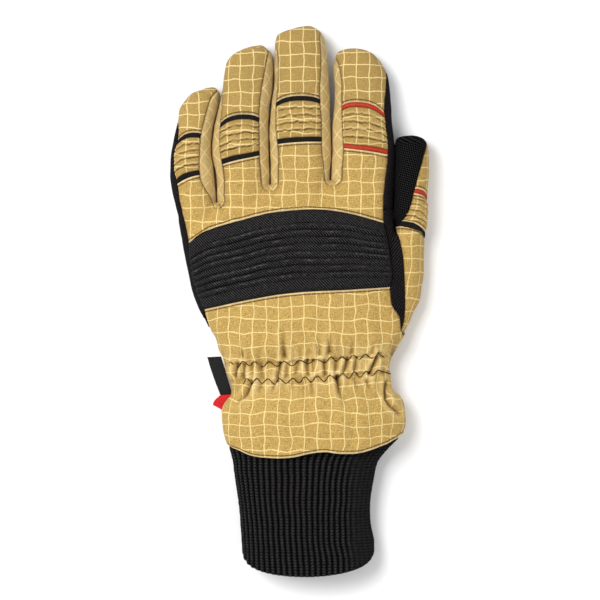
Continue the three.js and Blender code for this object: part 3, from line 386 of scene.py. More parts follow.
def seam_x(tube, side, y):
    share = seam_share(tube, side, y)
    left, right, *_ = tube_ring(tube, y)
    return (left + right) / 2 + max(-1, min(1, share)) * (right - left) / 2


web_lines = [web_line(k) for k in range(3)]


def angle_above(share):
    """Angle of a seam on the back, from the edge it is nearest to on the right."""
    if share > 1:
        return -min((share - 1) * 3, 0.4)
    if share < -1:
        return math.pi + min((-share - 1) * 3, 0.4)
    return math.acos(math.copysign(abs(share) ** (TOP_POWER / 2), share))


def angle_below(share):
    if abs(share) > 1:
        return angle_above(share) if share < 0 else 2 * math.pi + angle_above(share)
    return 2 * math.pi - math.acos(math.copysign(abs(share) ** (FLOOR_POWER / 2), share))


def stripe_y(tube, stripe, down, u):
    at, rise, bow = stripe
    side = 2 * u - 1
    return tube.root + at * tube.length - down + (rise * side - bow * side * side) * tube.width


# ---------------------------------------------------------------------------------------------
# Cloth pieces
# ---------------------------------------------------------------------------------------------
def nearest(line, x, y):
    """Distance to a line of points, and how far along it the nearest place is."""
    best = (99.0, 0.0)
    for k, ((ax, ay), (bx, by)) in enumerate(zip(line, line[1:])):
        dx, dy = bx - ax, by - ay
        t = min(max(((x - ax) * dx + (y - ay) * dy) / max(dx * dx + dy * dy, 1e-9), 0), 1)
        best = min(best, (math.hypot(x - ax - dx * t, y - ay - dy * t), (k + t) / (len(line) - 1)))
    return best


def distance_to(line, x, y):
    return nearest(line, x, y)[0]


def placed(name, data):
    obj = bpy.data.objects.new(name, data)
    bpy.context.scene.collection.objects.link(obj)
    return obj


class Cloth:
    """A sewn piece: patches of warped grid, welded, rolled in at its seams and given its thickness."""

    def __init__(self):
        self.bm = bmesh.new()
        self.seam = self.bm.verts.layers.float.new("seam")
        self.fold = self.bm.verts.layers.float.new("fold")
        self.lift = self.bm.verts.layers.float.new("lift")
        # per vertex: painted shade below 0, painted highlight above 0, which the materials mix into the colour
        self.painted_shading = self.bm.verts.layers.float.new("painted_shading")
        self.uv = self.bm.loops.layers.uv.new("cloth")

    def patch(self, columns, rows, place, heart, sides=None, relief=None, lay="wrap", lines=None, turn=0.0,
              line_x=None, drift=None, width=120, drawn=0.4):
        """One grid. Sides names the sewn ones, as left, right, bottom or top: "seam" or "fold".

        Relief gives how far the cloth stands out, or that and its painted shading: below 0 a painted shade in a
        crease, above 0 a painted highlight on a crest.
        The weave lies on the plan, or wrapped from the line at line_x, with "share" drawn in where the width is less.
        """
        bm = self.bm
        made = bmesh.ops.create_grid(bm, x_segments=columns, y_segments=rows, size=1)["verts"]
        grid = {}
        for vert in made:
            i = round((vert.co.x + 1) / 2 * columns)
            j = round((vert.co.y + 1) / 2 * rows)
            grid[i, j] = vert
        for (i, j), vert in grid.items():
            vert.co = Vector(place(i / columns, j / rows))
        across, up = {}, {}
        for j in range(rows + 1):
            across[0, j] = 0.0
            for i in range(1, columns + 1):
                across[i, j] = across[i - 1, j] + (grid[i, j].co - grid[i - 1, j].co).length
        for i in range(columns + 1):
            up[i, 0] = 0.0
            for j in range(1, rows + 1):
                up[i, j] = up[i, j - 1] + (grid[i, j].co - grid[i, j - 1].co).length
        starts = {}
        for j in range(rows + 1):
            starts[j] = across[columns // 2, j]
            if line_x is not None:
                first_x, last_x = grid[0, j].co.x, grid[columns, j].co.x
                starts[j] = line_x - first_x if line_x < first_x else across[columns, j] + line_x - last_x
                for i in range(columns):
                    ax, bx = grid[i, j].co.x, grid[i + 1, j].co.x
                    if ax <= line_x < bx:
                        starts[j] = lerp(across[i, j], across[i + 1, j], (line_x - ax) / (bx - ax))
                        break
        cos, sin = math.cos(turn), math.sin(turn)
        places = {}
        for (i, j), vert in grid.items():
            seam, fold = 99.0, 99.0
            spans = {
                "left": across[i, j], "right": across[columns, j] - across[i, j],
                "bottom": up[i, j], "top": up[i, rows] - up[i, j],
            }
            for side, kind in (sides or {}).items():
                if kind == "fold":
                    fold = min(fold, spans[side])
                else:
                    seam = min(seam, spans[side])
            for kind, line in lines or ():
                away = distance_to(line, vert.co.x, vert.co.y)
                if kind == "fold":
                    fold = min(fold, away)
                else:
                    seam = min(seam, away)
            vert[self.seam], vert[self.fold] = seam, fold
            lift = relief(i / columns, j / rows, vert.co.copy(), min(seam, fold)) if relief else 0.0
            vert[self.lift], vert[self.painted_shading] = lift if isinstance(lift, tuple) else (lift, 0.0)
            if lay == "plan":
                u, v = vert.co.x, vert.co.y
            elif lay == "share":
                u = (across[i, j] - starts[j]) * (width / max(across[columns, j], 0.001)) ** drawn
                v = vert.co.y
            else:
                u, v = across[i, j] - starts[j], vert.co.y
            if drift:
                away = drift(vert.co)
                u, v = u + away[0], v + away[1]
            places[vert] = ((u * cos - v * sin) / 100, (u * sin + v * cos) / 100)
        faces = {face for vert in made for face in vert.link_faces}
        bm.normal_update()
        facing = 0.0
        for face in faces:
            middle_point = face.calc_center_median()
            facing += face.normal.dot(middle_point - Vector(heart(middle_point))) * face.calc_area()
            for loop in face.loops:
                loop[self.uv].uv = places[loop.vert]
        if facing < 0:
            bmesh.ops.reverse_faces(bm, faces=list(faces))

    def piece(self, node, slot, kind="cloth", material=None, roll=SEAM_ROLL, thickness=CLOTH, weld=0.02):
        """Dresses a node of the frame; the finish is its slot's own, or another."""
        name = f"{node}_{kind}"
        bm = self.bm
        bmesh.ops.remove_doubles(bm, verts=bm.verts, dist=weld)
        bm.normal_update()
        moved = {}
        for vert in bm.verts:
            seam, fold = vert[self.seam], vert[self.fold]
            out = vert[self.lift]
            near = min(seam, fold)
            if near < ROLL_WIDTH:
                out -= roll * (1 - near / ROLL_WIDTH) ** 2
            if fold < 4:
                out -= 0.22 * bump(fold - STITCH_FROM_FOLD, 0.4)
            if near < 8:
                out += 0.35 * math.exp(-near / 3) * noise.noise(vert.co / 2.6)
            moved[vert] = vert.co + vert.normal * out
            moved[vert].z = max(moved[vert].z, 0)
        for vert, place in moved.items():
            vert.co = place
        for face in bm.faces:
            face.smooth = True
        bmesh.ops.scale(bm, vec=(MM, MM, MM), verts=bm.verts)
        mesh = bpy.data.meshes.new(name)
        bm.to_mesh(mesh)
        bm.free()
        obj = placed(name, mesh)
        mesh.materials.append(material or FINISHES[slot])
        wall = obj.modifiers.new("wall", "SOLIDIFY")
        wall.thickness = thickness * MM
        wall.offset = -1
        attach(obj, "root")
        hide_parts(node)
        return obj


def tube_heart(tube):
    def heart(point):
        left, right, _, equator, _ = tube_ring(tube, point.y)
        return (left + right) / 2, point.y, equator
    return heart


def below(point):
    return point.x, point.y, point.z - 10


def above(point):
    return point.x, point.y, point.z + 10


def slack(point, size=14.0, height=0.45):
    """Soft unevenness of cloth that lies loose."""
    return height * (noise.noise(point / size) + 0.5 * noise.noise(point / (size * 0.45)))


SEWN_SIDES = {"left": "seam", "right": "seam"}


def slack_cloth(size, height):
    """Relief of a piece that is only slack."""
    return lambda u, w, point, near: slack(point, size, height)


def small_drift(point):
    """How far the weave strays from straight."""
    return 0.5 * noise.noise(point / 11), 0.8 * noise.noise(Vector((point.y, point.x, 5)) / 13)


# ---------------------------------------------------------------------------------------------
# Materials
# ---------------------------------------------------------------------------------------------
NEAR_BLACK = (0.001, 0.001, 0.001, 1)
BACKGROUND = (1, 1, 1, 1)
WORLD_LIGHT = 0.6
# name, place in m, size in m, power in W
LAMPS = (("key", (-0.75, 0.45, 1.45), 0.9, 26), ("fill", (0.9, -0.6, 1.4), 1.4, 6))
CAMERA_PLACE = (0.0044, -0.0044, 1.85)
CAMERA_LENS = 200
FLOOR_COLOUR = (0.93, 0.93, 0.93, 1)
FLOOR_GAP = 0.0004


class Finish:
    """Lays the nodes of one material."""

    def __init__(self, name):
        self.material = bpy.data.materials.new(name)
        self.material.use_nodes = True
        self.tree = self.material.node_tree
        self.shader = self.tree.nodes["Principled BSDF"]

    def put(self, kind, sockets=None, **settings):
        node = self.tree.nodes.new(kind)
        for key, value in settings.items():
            setattr(node, key, value)
        for key, value in (sockets or {}).items():
            self.feed(node.inputs[key], value)
        return node

    def feed(self, socket, value):
        if isinstance(value, bpy.types.NodeSocket):
            self.tree.links.new(value, socket)
        else:
            socket.default_value = value

    def math(self, operation, a, b=0.0, c=0.0):
        return self.put("ShaderNodeMath", {0: a, 1: b, 2: c}, operation=operation).outputs[0]

    def mix(self, share, a, b, kind="MIX"):
        node = self.put("ShaderNodeMix", {0: share, 6: a, 7: b}, data_type="RGBA", blend_type=kind)
        return node.outputs[2]

    def noise(self, where, scale, detail=2.0, rough=0.5):
        node = self.put("ShaderNodeTexNoise", {"Vector": where, "Scale": scale, "Detail": detail, "Roughness": rough})
        return node.outputs["Fac"]

    def step(self, value, low, high, start=0.0, end=1.0):
        """From start to end as the value goes from low to high."""
        node = self.put("ShaderNodeMapRange", {0: value, 1: low, 2: high, 3: start, 4: end}, clamp=True)
        return node.outputs[0]

    def scaled(self, where, x=1.0, y=1.0, z=1.0, turn=0.0):
        node = self.put("ShaderNodeMapping", {"Vector": where, "Scale": (x, y, z), "Rotation": (0, 0, turn)})
        return node.outputs[0]

    def cloth_mm(self):
        return self.scaled(self.put("ShaderNodeUVMap", uv_map="cloth").outputs[0], 100, 100, 100)

    def body_mm(self):
        return self.scaled(self.put("ShaderNodeTexCoord").outputs["Object"], 1000, 1000, 1000)

    def parts(self, where):
        node = self.put("ShaderNodeSeparateXYZ", {0: where})
        return node.outputs[0], node.outputs[1], node.outputs[2]

    def note(self, name):
        return self.put("ShaderNodeAttribute", attribute_name=name).outputs["Fac"]

    def painted_shading(self, colour, dark, light):
        """The colour with painted shade in its creases and a painted highlight on its crests."""
        note = self.note("painted_shading")
        colour = self.mix(self.step(note, -1, 0, 1, 0), colour, dark)
        return self.mix(self.step(note, 0, 1), colour, light)

    def finish(self, colour, rough, height=None, depth=0.0002, strength=0.6, sheen=0.0, sheen_rough=0.5, gloss=0.2):
        self.feed(self.shader.inputs["Base Color"], colour)
        self.feed(self.shader.inputs["Roughness"], rough)
        self.shader.inputs["Specular IOR Level"].default_value = gloss
        self.shader.inputs["Sheen Weight"].default_value = sheen
        self.shader.inputs["Sheen Roughness"].default_value = sheen_rough
        if height is not None:
            bumps = self.put("ShaderNodeBump", {"Height": height, "Strength": strength, "Distance": depth})
            self.feed(self.shader.inputs["Normal"], bumps.outputs[0])
        return self.material


def stitch_line(f, run, fold):
    """Share of stitching thread, in a row beside a folded edge."""
    near = f.math("ABSOLUTE", f.math("SUBTRACT", fold, STITCH_FROM_FOLD))
    row = f.step(near, 0.2, 0.5, 1, 0)
    dash = f.math("ABSOLUTE", f.math("SUBTRACT", f.math("FRACT", f.math("DIVIDE", run, 2.6)), 0.5))
    return f.math("MULTIPLY", row, f.step(dash, 0.36, 0.46, 0.95, 0.65))


def make_ripstop():
    f = Finish("khaki_ripstop")
    where = f.cloth_mm()
    wobble = f.noise(where, 0.09, 1)
    u, v, _ = f.parts(where)
    sway = f.math("MULTIPLY", f.math("SUBTRACT", wobble, 0.5), 3.0)

    def lines(value, bent):
        share = f.math("FRACT", f.math("DIVIDE", f.math("ADD", value, bent), RIPSTOP_SQUARE))
        away = f.math("MULTIPLY", f.math("ABSOLUTE", f.math("SUBTRACT", share, 0.5)), RIPSTOP_SQUARE)
        return f.step(away, 0.12, 0.42, 1, 0)

    along_threads = f.noise(f.scaled(where, 2.4, 0.35, 1), 1.0, 3, 0.7)
    cross_threads = f.noise(f.scaled(where, 0.35, 2.4, 1), 1.0, 3, 0.7)
    specks = f.noise(where, 1.5, 3, 0.75)
    heather = f.math("ADD", f.math("MULTIPLY", f.math("ADD", along_threads, cross_threads), 0.3),
                     f.math("MULTIPLY", specks, 0.4))
    shade = f.step(heather, 0.4, 0.6)
    colour = f.mix(shade, (0.20, 0.118, 0.027, 1), (0.66, 0.445, 0.138, 1))
    broad = f.noise(where, 0.05, 2)
    colour = f.mix(f.step(broad, 0.3, 0.7, 0.0, 0.35), colour, (0.44, 0.275, 0.073, 1))
    # painted shade: the cloth darkens toward the fingertips, which curve down
    _, height, _ = f.parts(f.body_mm())
    colour = f.mix(f.step(height, 45, 115, 0, 0.5), colour, (0.235, 0.158, 0.052, 1))
    grid = f.math("MAXIMUM", lines(u, sway), lines(v, sway))
    grid = f.math("MULTIPLY", grid, f.step(specks, 0.3, 0.6, 0.35, 0.95))
    colour = f.mix(grid, colour, (0.86, 0.68, 0.30, 1))
    seam, fold = f.note("seam"), f.note("fold")
    # painted shade in creases and painted highlight on crests and on the steep walls
    colour = f.painted_shading(colour, (0.10, 0.052, 0.014, 1), (0.80, 0.63, 0.32, 1))
    # painted shade within a few mm of every seam
    colour = f.mix(f.step(seam, 0.5, 3.5, 0.22, 0), colour, (0.20, 0.115, 0.032, 1))
    colour = f.mix(f.step(seam, 0.1, 0.7, 0.65, 0), colour, (0.11, 0.05, 0.014, 1))
    # painted highlight along every folded edge
    colour = f.mix(f.step(fold, 0.35, 0.95, 0.85, 0), colour, (0.80, 0.62, 0.36, 1))
    thread = stitch_line(f, u, fold)
    colour = f.mix(thread, colour, (0.10, 0.05, 0.018, 1))
    weave = f.math("ADD", f.math("MULTIPLY", specks, 0.6), f.math("MULTIPLY", grid, 0.5))
    return f.finish(colour, 0.85, weave, 0.0003, 0.55, 0.05, gloss=0.15)


def make_black_cloth():
    f = Finish("black_cloth")
    where = f.cloth_mm()
    specks = f.noise(where, 1.3, 3, 0.7)
    ribs = f.put("ShaderNodeTexWave", {"Vector": f.scaled(where, 1, 1, 1, 0.75), "Scale": 0.26, "Distortion": 1.5},
                 bands_direction="X").outputs["Fac"]
    cloth_share = f.math("MULTIPLY", f.step(ribs, 0.1, 0.9), f.step(specks, 0.3, 0.65))
    colour = f.mix(cloth_share, NEAR_BLACK, (0.04, 0.034, 0.036, 1))
    height = f.math("ADD", specks, ribs)
    return f.finish(colour, 0.9, height, 0.0003, 0.8, gloss=0.02)


def make_guard_twill():
    f = Finish("guard_twill")
    where = f.cloth_mm()
    twill = f.put("ShaderNodeTexWave", {"Vector": f.scaled(where, 1, 1, 1, -0.75), "Scale": 0.27, "Distortion": 0.9},
                  bands_direction="X").outputs["Fac"]
    specks = f.noise(f.scaled(where, 0.5, 1.6, 1), 1.0, 3, 0.7)
    colour = f.mix(f.math("MULTIPLY", f.step(twill, 0.15, 0.85), f.step(specks, 0.25, 0.62)), NEAR_BLACK,
                   (0.06, 0.058, 0.059, 1))
    # painted highlight in broken lines on the ridges' crests and painted shade in the grooves
    crest = f.math("MULTIPLY", f.step(f.note("painted_shading"), 0.1, 0.9), f.step(specks, 0.5, 0.62, 0.12, 1))
    colour = f.mix(crest, colour, (0.13, 0.13, 0.13, 1))
    colour = f.mix(f.step(f.note("painted_shading"), -1, 0, 0.9, 0), colour, (0.002, 0.002, 0.002, 1))
    return f.finish(colour, 0.85, f.math("ADD", twill, specks), 0.0004, 0.9, gloss=0.03)


def make_grip_cloth():
    f = Finish("grip_cloth")
    where = f.cloth_mm()
    u, v, _ = f.parts(f.scaled(where, 1, 1, 1, 0.8))
    cells = f.math("MULTIPLY",
                   f.math("SINE", f.math("MULTIPLY", u, 4.6)), f.math("SINE", f.math("MULTIPLY", v, 2.6)))
    specks = f.noise(where, 1.4, 2, 0.7)
    dots = f.step(f.math("ADD", cells, f.math("MULTIPLY", f.math("SUBTRACT", specks, 0.5), 1.2)), 0.15, 0.6)
    colour = f.mix(dots, NEAR_BLACK, (0.028, 0.027, 0.027, 1))
    return f.finish(colour, 0.9, dots, 0.0003, 0.6, gloss=0.02)


def make_knit():
    f = Finish("cuff_knit")
    where = f.cloth_mm()
    u, v, _ = f.parts(where)
    rib = f.math("ABSOLUTE", f.math("SUBTRACT", f.math("FRACT", f.math("DIVIDE", u, KNIT_RIB / 2)), 0.5))
    specks = f.noise(where, 1.1, 2, 0.7)
    row = f.math("FRACT", f.math("ADD", f.math("DIVIDE", v, KNIT_ROW), f.math("ADD", rib, specks)))
    bead = f.math("ABSOLUTE", f.math("SUBTRACT", row, 0.5))
    loops = f.math("ADD", f.math("MULTIPLY", bead, 1.3), f.math("MULTIPLY", specks, 0.5))
    colour = f.mix(f.step(loops, 0.3, 0.8), NEAR_BLACK, (0.042, 0.04, 0.04, 1))
    # painted shade in the grooves between the ribs
    colour = f.mix(f.step(f.note("painted_shading"), -0.8, 0.8, 0.95, 0), colour, NEAR_BLACK)
    return f.finish(colour, 0.95, loops, 0.0005, 1.0, gloss=0.02)


def make_red_tape():
    f = Finish("red_tape")
    where = f.cloth_mm()
    specks = f.noise(f.scaled(where, 2.2, 0.6, 1), 1.0, 2, 0.6)
    fold = f.note("fold")
    colour = f.mix(f.step(specks, 0.3, 0.7), (0.24, 0.018, 0.006, 1), (0.44, 0.037, 0.011, 1))
    # painted highlight along the tape's middle
    colour = f.mix(f.step(fold, 0.6, 1.1, 0, 0.5), colour, (0.47, 0.05, 0.018, 1))
    return f.finish(colour, 0.6, specks, 0.00015, 0.5, gloss=0.12)


def make_plain(name, dark, light, rough, scale=1.6, depth=0.0002):
    f = Finish(name)
    where = f.body_mm()
    specks = f.noise(where, scale, 2, 0.6)
    return f.finish(f.mix(f.step(specks, 0.3, 0.7), dark, light), rough, specks, depth, 0.5, gloss=0.12)


FINISHES = {
    "khaki_ripstop": make_ripstop(), "black_cloth": make_black_cloth(), "guard_twill": make_guard_twill(),
    "grip_cloth": make_grip_cloth(), "cuff_knit": make_knit(), "red_tape": make_red_tape(),
    "label_tape": make_plain("label_tape", (0.006, 0.006, 0.007, 1), (0.014, 0.014, 0.015, 1), 0.6),
}
brown_thread = make_plain("brown_thread", (0.03, 0.014, 0.006, 1), (0.07, 0.034, 0.012, 1), 0.7)
tab_tape = make_plain("tab_tape", (0.50, 0.014, 0.018, 1), (0.62, 0.022, 0.026, 1), 0.7)
black_tape = make_plain("black_tape", (0.004, 0.003, 0.003, 1), (0.013, 0.011, 0.01, 1), 0.9)
TAPES = {"black_cloth": black_tape, "red_tape": FINISHES["red_tape"]}


# ---------------------------------------------------------------------------------------------
# Fingers
# ---------------------------------------------------------------------------------------------
TUCK_SHARES = (0.8, 0.6, 0.4, 0.2)


def tuck_relief(phase):
    """Four narrow folds sewn across a pad, each with a crest on its tip side, a painted highlight on the crest and
    painted shade in the fold.
    """
    def relief(u, w, point, near):
        out, shade = 0.5 * math.sin(math.pi * w) ** 0.5 + slack(point, 7, 0.35), 0.0
        for k, share in enumerate(TUCK_SHARES):
            sway = 0.032 * noise.noise(Vector((point.x / 3.4, phase + 3.3 * k, 0)))
            sway += 0.03 * noise.noise(Vector((point.x / 1.5, phase - 5.1 * k, 2)))
            away = (w - share - sway) / 0.035
            deep = max(0.75 + 0.1 * k + 0.9 * noise.noise(Vector((point.x / 2.3, 4.4 * k, phase))), 0.25)
            out += 0.5 * bump(away - 1.4, 1.0) + 0.35 * bump(away + 1.4, 1.0) - 1.1 * deep * bump(away, 0.6)
            shade += 0.36 * bump(away - 1.5, 0.7) * deep - 0.72 * deep * bump(away, 0.42)
        return out, shade
    return relief


def finger_pieces(tube):
    def on_back(u, y):
        first, last = (angle_above(seam_share(tube, side, y)) for side in ("left", "right"))
        return soft_point(tube_ring(tube, y), y, lerp(first, last, u))

    def span(bottom, top):
        return lambda u, w: on_back(u, lerp(bottom(u), top(u), w))

    def edge(stripe, down):
        return lambda u: stripe_y(tube, stripe, down, u)

    def tip(u, w):
        start = (stripe_y(tube, tube.upper, 0, u) - tube.root) / tube.length
        return on_back(u, tube.root + tube.length * (1 - (1 - start) * (1 - w) ** 2))

    heart = tube_heart(tube)
    along, up = tube.weave

    def drift(point):
        away = small_drift(point)
        return away[0] - along, away[1] + up

    cloth = Cloth()
    cloth.patch(36, 46, tip, heart, {**SEWN_SIDES, "bottom": "fold"}, slack_cloth(9, 0.3),
                line_x=tube.x, drift=drift)
    cloth.piece(f"{tube.name}_tip_back", "khaki_ripstop")
    cloth = Cloth()
    pad = span(edge(tube.lower, 0), edge(tube.upper, STRIPE_WIDTH))
    cloth.patch(44, 110, pad, heart, {**SEWN_SIDES, "bottom": "seam", "top": "seam"}, tuck_relief(tube.x),
                line_x=tube.x, drift=drift)
    made = cloth.piece(f"{tube.name}_knuckle_pad", "khaki_ripstop")
    for part, stripe, slot in (("upper", tube.upper, tube.tape), ("lower", tube.lower, tube.lower_tape)):
        cloth = Cloth()
        band = span(edge(stripe, STRIPE_WIDTH), edge(stripe, 0))
        cloth.patch(40, 8, band, heart, {"bottom": "fold", "top": "fold", **SEWN_SIDES}, lambda u, w, p, n: 0.1)
        cloth.piece(f"{tube.name}_{part}_stripe", slot, "tape", TAPES[slot], roll=0.35)


for finger, weave in zip(fingers, ((-0.5, 0), (2.7, 1.9), (-2.0, 2.8), (0, 1.4))):
    finger.lower_tape = finger.tape
    finger.weave = weave
    finger_pieces(finger)

# The palm sides: black cloth from seam to seam underneath, on to the top where no side wall lies
for k, finger in enumerate(fingers):
    def around(u, w, tube=finger, first_side=k == 0, last_side=k == 3):
        start = 2 if first_side else 8
        y = tube.root + start + (tube.length - start) * (1 - (1 - w) ** 2)
        left, right = seam_share(tube, "left", y), seam_share(tube, "right", y)
        first = angle_above(left) if first_side else angle_below(left)
        last = 2 * math.pi + angle_above(right) if last_side else angle_below(right)
        return soft_point(tube_ring(tube, y), y, lerp(first, last, u))

    cloth = Cloth()
    cloth.patch(44, 60, around, tube_heart(finger), SEWN_SIDES,
                slack_cloth(11, 0.35))
    cloth.piece(f"{finger.name}_front", "black_cloth")


def seam_end(tube, side):
    y = tube.root + tube.length
    while abs(seam_share(tube, side, y)) > 1.02:
        y -= 0.3
    return y


for k, name in enumerate(("little_ring", "ring_middle", "middle_index")):
    left_finger, right_finger = fingers[k], fingers[k + 1]
    cloth = Cloth()

    def section(tube, side, y, across, deepest=None):
        share = seam_share(tube, side, y)
        high, low = angle_above(share), angle_below(share)
        if side == "right":
            low -= 2 * math.pi
        angle = lerp(high, low, across)
        if deepest:
            angle = max(angle, 0) if side == "right" else min(angle, math.pi)
        return soft_point(tube_ring(tube, y), y, angle)

    def wall(tube, side):
        start, end = WEBS[k][0], seam_end(tube, side)
        return lambda u, w: section(tube, side, lerp(start, end, 1 - (1 - w) ** 1.5), u)

    for tube, side in ((left_finger, "right"), (right_finger, "left")):
        # painted light: the steep side walls are made lighter in colour
        cloth.patch(22, 90, wall(tube, side), tube_heart(tube), {"left": "seam"},
                    lambda u, w, p, n: (slack(p, 8, 0.3), 0.32), turn=math.pi / 4, line_x=web_x(k))

    def saddle(u, w):
        # u runs from the U's seam down into the slit, w round the U from the left finger to the right one
        middle, start, depth, left, right = web_lines[k]
        angle = math.pi * w
        rim = back_height(middle - math.cos(angle) * (left if w < 0.5 else right), start - depth * math.sin(angle))
        a, b = section(left_finger, "right", start, u), section(right_finger, "left", start, u)
        a_in = section(left_finger, "right", start, u, True)
        b_in = section(right_finger, "left", start, u, True)
        first_a, first_b = section(left_finger, "right", start, 0), section(right_finger, "left", start, 0)
        share = lerp((middle - a_in.x) / left, (b_in.x - middle) / right, w)
        x = middle - math.cos(angle) * share * (left if w < 0.5 else right)
        if w == 0 or w == 1:
            return a if w == 0 else b
        raised = (rim - lerp(first_a.z, first_b.z, w)) * max(1 - u * 1.4, 0)
        return x, start - depth * share * math.sin(angle), lerp(a.z, b.z, w) + raised

    # painted light: the saddle's cloth is made a little lighter in colour
    cloth.patch(22, 40, saddle, below, {"left": "seam"},
                lambda u, w, p, n: (0.25 * math.sin(math.pi * min(u * 2, 1)), 0.15), "plan", turn=math.pi / 4)
    cloth.piece(f"fourchette_{name}", "khaki_ripstop")


# ---------------------------------------------------------------------------------------------
# The back of the hand
# ---------------------------------------------------------------------------------------------
def halved(is_below, tries):
    """The share of a run where is_below stops being true."""
    low, high = 0.0, 1.0
    for _ in range(tries):
        mid = (low + high) / 2
        if is_below(mid):
            low = mid
        else:
            high = mid
    return (low + high) / 2


def guard_top_share(x):
    return halved(lambda share: guard_top(share)[0] < x, 24)


def column_side(k, side):
    """Edge of a finger's column on the back of the hand: seam, then the web's U, then down to the guard."""
    tube = fingers[k]
    stripe_end = stripe_y(tube, tube.lower, STRIPE_WIDTH, 0 if side == "left" else 1)
    outer = (k == 0 and side == "left") or (k == 3 and side == "right")
    if outer:
        seam_stop = tube.root if k == 0 else tube.root + 4.5
        corner = guard_top(0.0 if k == 0 else 1.0)

        def line(w):
            if w <= SEAM_PART:
                y = lerp(stripe_end, seam_stop, w / SEAM_PART)
                return seam_x(tube, side, y), y
            t = (w - SEAM_PART) / (1 - SEAM_PART)
            return lerp(seam_x(tube, side, seam_stop), corner[0], t), lerp(seam_stop, corner[1], t)
        return line, (0.0 if k == 0 else 1.0)
    web = k - 1 if side == "left" else k
    mid_x, start, depth, *_ = web_lines[web]
    share = guard_top_share(mid_x)
    foot = guard_top(share)

    def line(w):
        if w <= SLIT_PART:
            y = lerp(stripe_end, start, w / SLIT_PART)
            return seam_x(tube, side, y), y
        if w <= SEAM_PART:
            left_of_u = max(1 - (w - SLIT_PART) / (SEAM_PART - SLIT_PART), 0)
            # the power keeps the rows of the mesh apart at the foot of the U
            angle = math.pi / 2 * (1 - left_of_u ** (0.6 if web else 0.5))
            edge = seam_x(tube, side, start)
            return lerp(mid_x, edge, math.cos(angle)), start - depth * math.sin(angle)
        t = (w - SEAM_PART) / (1 - SEAM_PART)
        return lerp(mid_x, foot[0], t), lerp(start - depth, foot[1], t)
    return line, share


def hand_drift(point):
    away = small_drift(point)
    return 1.6 + away[0], 0.7 + away[1]


cloth = Cloth()
for k, tube in enumerate(fingers):
    left_line, left_share = column_side(k, "left")
    right_line, right_share = column_side(k, "right")

    def column(u, w, tube=tube, left_line=left_line, right_line=right_line, a=left_share, b=right_share):
        # w runs from the guard up to the stripe
        down = 1 - w
        (ax, ay), (bx, by) = left_line(down), right_line(down)
        x, y = lerp(ax, bx, u), lerp(ay, by, u)
        top_bow = stripe_y(tube, tube.lower, STRIPE_WIDTH, u) - lerp(
            stripe_y(tube, tube.lower, STRIPE_WIDTH, 0), stripe_y(tube, tube.lower, STRIPE_WIDTH, 1), u)
        gx, gy = guard_top(lerp(a, b, u))
        (fx, fy), (hx, hy) = guard_top(a), guard_top(b)
        x += (gx - lerp(fx, hx, u)) * down ** 2
        y += top_bow * w ** 2 + (gy - lerp(fy, hy, u)) * down ** 2
        return x, y, back_height(x, y)

    steps = [i / 24 for i in range(25)]
    seam_part = [line(s) for line in (left_line, right_line) for s in steps if s <= SEAM_PART]
    half = len(seam_part) // 2
    lines = [("seam", seam_part[:half]), ("seam", seam_part[half:])]
    if k == 0:
        lines.append(("seam", [left_line(s) for s in steps if s >= 0.66]))
    if k == 3:
        lines.append(("seam", [right_line(s) for s in steps if s >= 0.66]))
    lines.append(("fold", [guard_top(s / 2) for s in (0, 0.25, 0.5, 0.75, 1, 1.25, 1.5, 1.75, 2)]))
    lines.append(("fold", [tuple(Vector(column(s, 1.0))[:2]) for s in steps]))
    cloth.patch(40, 84, column, below, None, slack_cloth(13, 0.5), "plan", lines, drift=hand_drift)
cloth.piece("hand_back_panel", "khaki_ripstop", weld=0.01)


def guard_place(u, w):
    down = 1 - w
    y = lerp(guard_top(u)[1], guard_bottom(u)[1], down)
    left, right = guard_left(down)[0], guard_right(down)[0]
    x = lerp(left, right, u)
    return x, y, back_height(x, y)


def guard_relief(u, w, point, near):
    fill = min(near / 3.2, 1)
    x, y = point.x, point.y
    out, shade = 0.3 + GUARD_PAD * math.sin(fill * math.pi / 2), 0.0
    band = (w - 0.15) / 0.68 + 0.02 * noise.noise(Vector((x / 14, y / 30, 1.7)))
    band += 0.01 * noise.noise(Vector((x / 4, y / 9, 6)))
    if 0 < band < 1:
        ridge = int(band * GUARD_RIDGES)
        strong = 0.72 + 0.7 * noise.noise(Vector((x / 17, ridge * 1.7 + 0.3, 4))) + 0.2 * max(min(-x / 30, 1), -0.5)
        strong = min(max(strong, 0.3), 1.15) * min(1, near / 4)
        part = band * GUARD_RIDGES - ridge
        wave = math.sin(math.pi * part)
        out += GUARD_RIDGE_RISE * strong * (wave ** 0.6 - 0.6)
        # painted highlight along each ridge's upper side and painted shade in the grooves between ridges
        light = bump(part - 0.62, 0.12) * min(max(0.5 + 2.2 * noise.noise(Vector((x / 7, ridge * 2.9, 8))), 0), 1)
        shade = strong * (0.9 * light - 1.5 * max(0.45 - wave, 0) * 2)
    return out + 0.25 * noise.noise(point / 7), shade


cloth = Cloth()
cloth.patch(110, 130, guard_place, below, {s: "seam" for s in ("left", "right", "bottom", "top")}, guard_relief)
guard = cloth.piece("knuckle_guard", "guard_twill", "pad", roll=0.4)


# ---------------------------------------------------------------------------------------------
# The gauntlet
# ---------------------------------------------------------------------------------------------
# x, y of the two elastic rows
ROW_ONE = smooth_table([
    (-40, -40), (-34.6, -39.9), (-12.6, -39.6), (4.4, -38.5), (30, -36.6), (50.6, -35.2), (56, -34.8),
])
ROW_TWO = smooth_table([(-38, -49.4), (-27, -49), (-9.4, -49), (7, -47.9), (27.5, -46.2), (54.5, -44), (60, -43.4)])


def photo(px, py):
    """A place of the photograph, in pixels, on the plan in mm."""
    return (px - PHOTO_MIDDLE) * MM_A_PIXEL, (PHOTO_MIDDLE - py) * MM_A_PIXEL


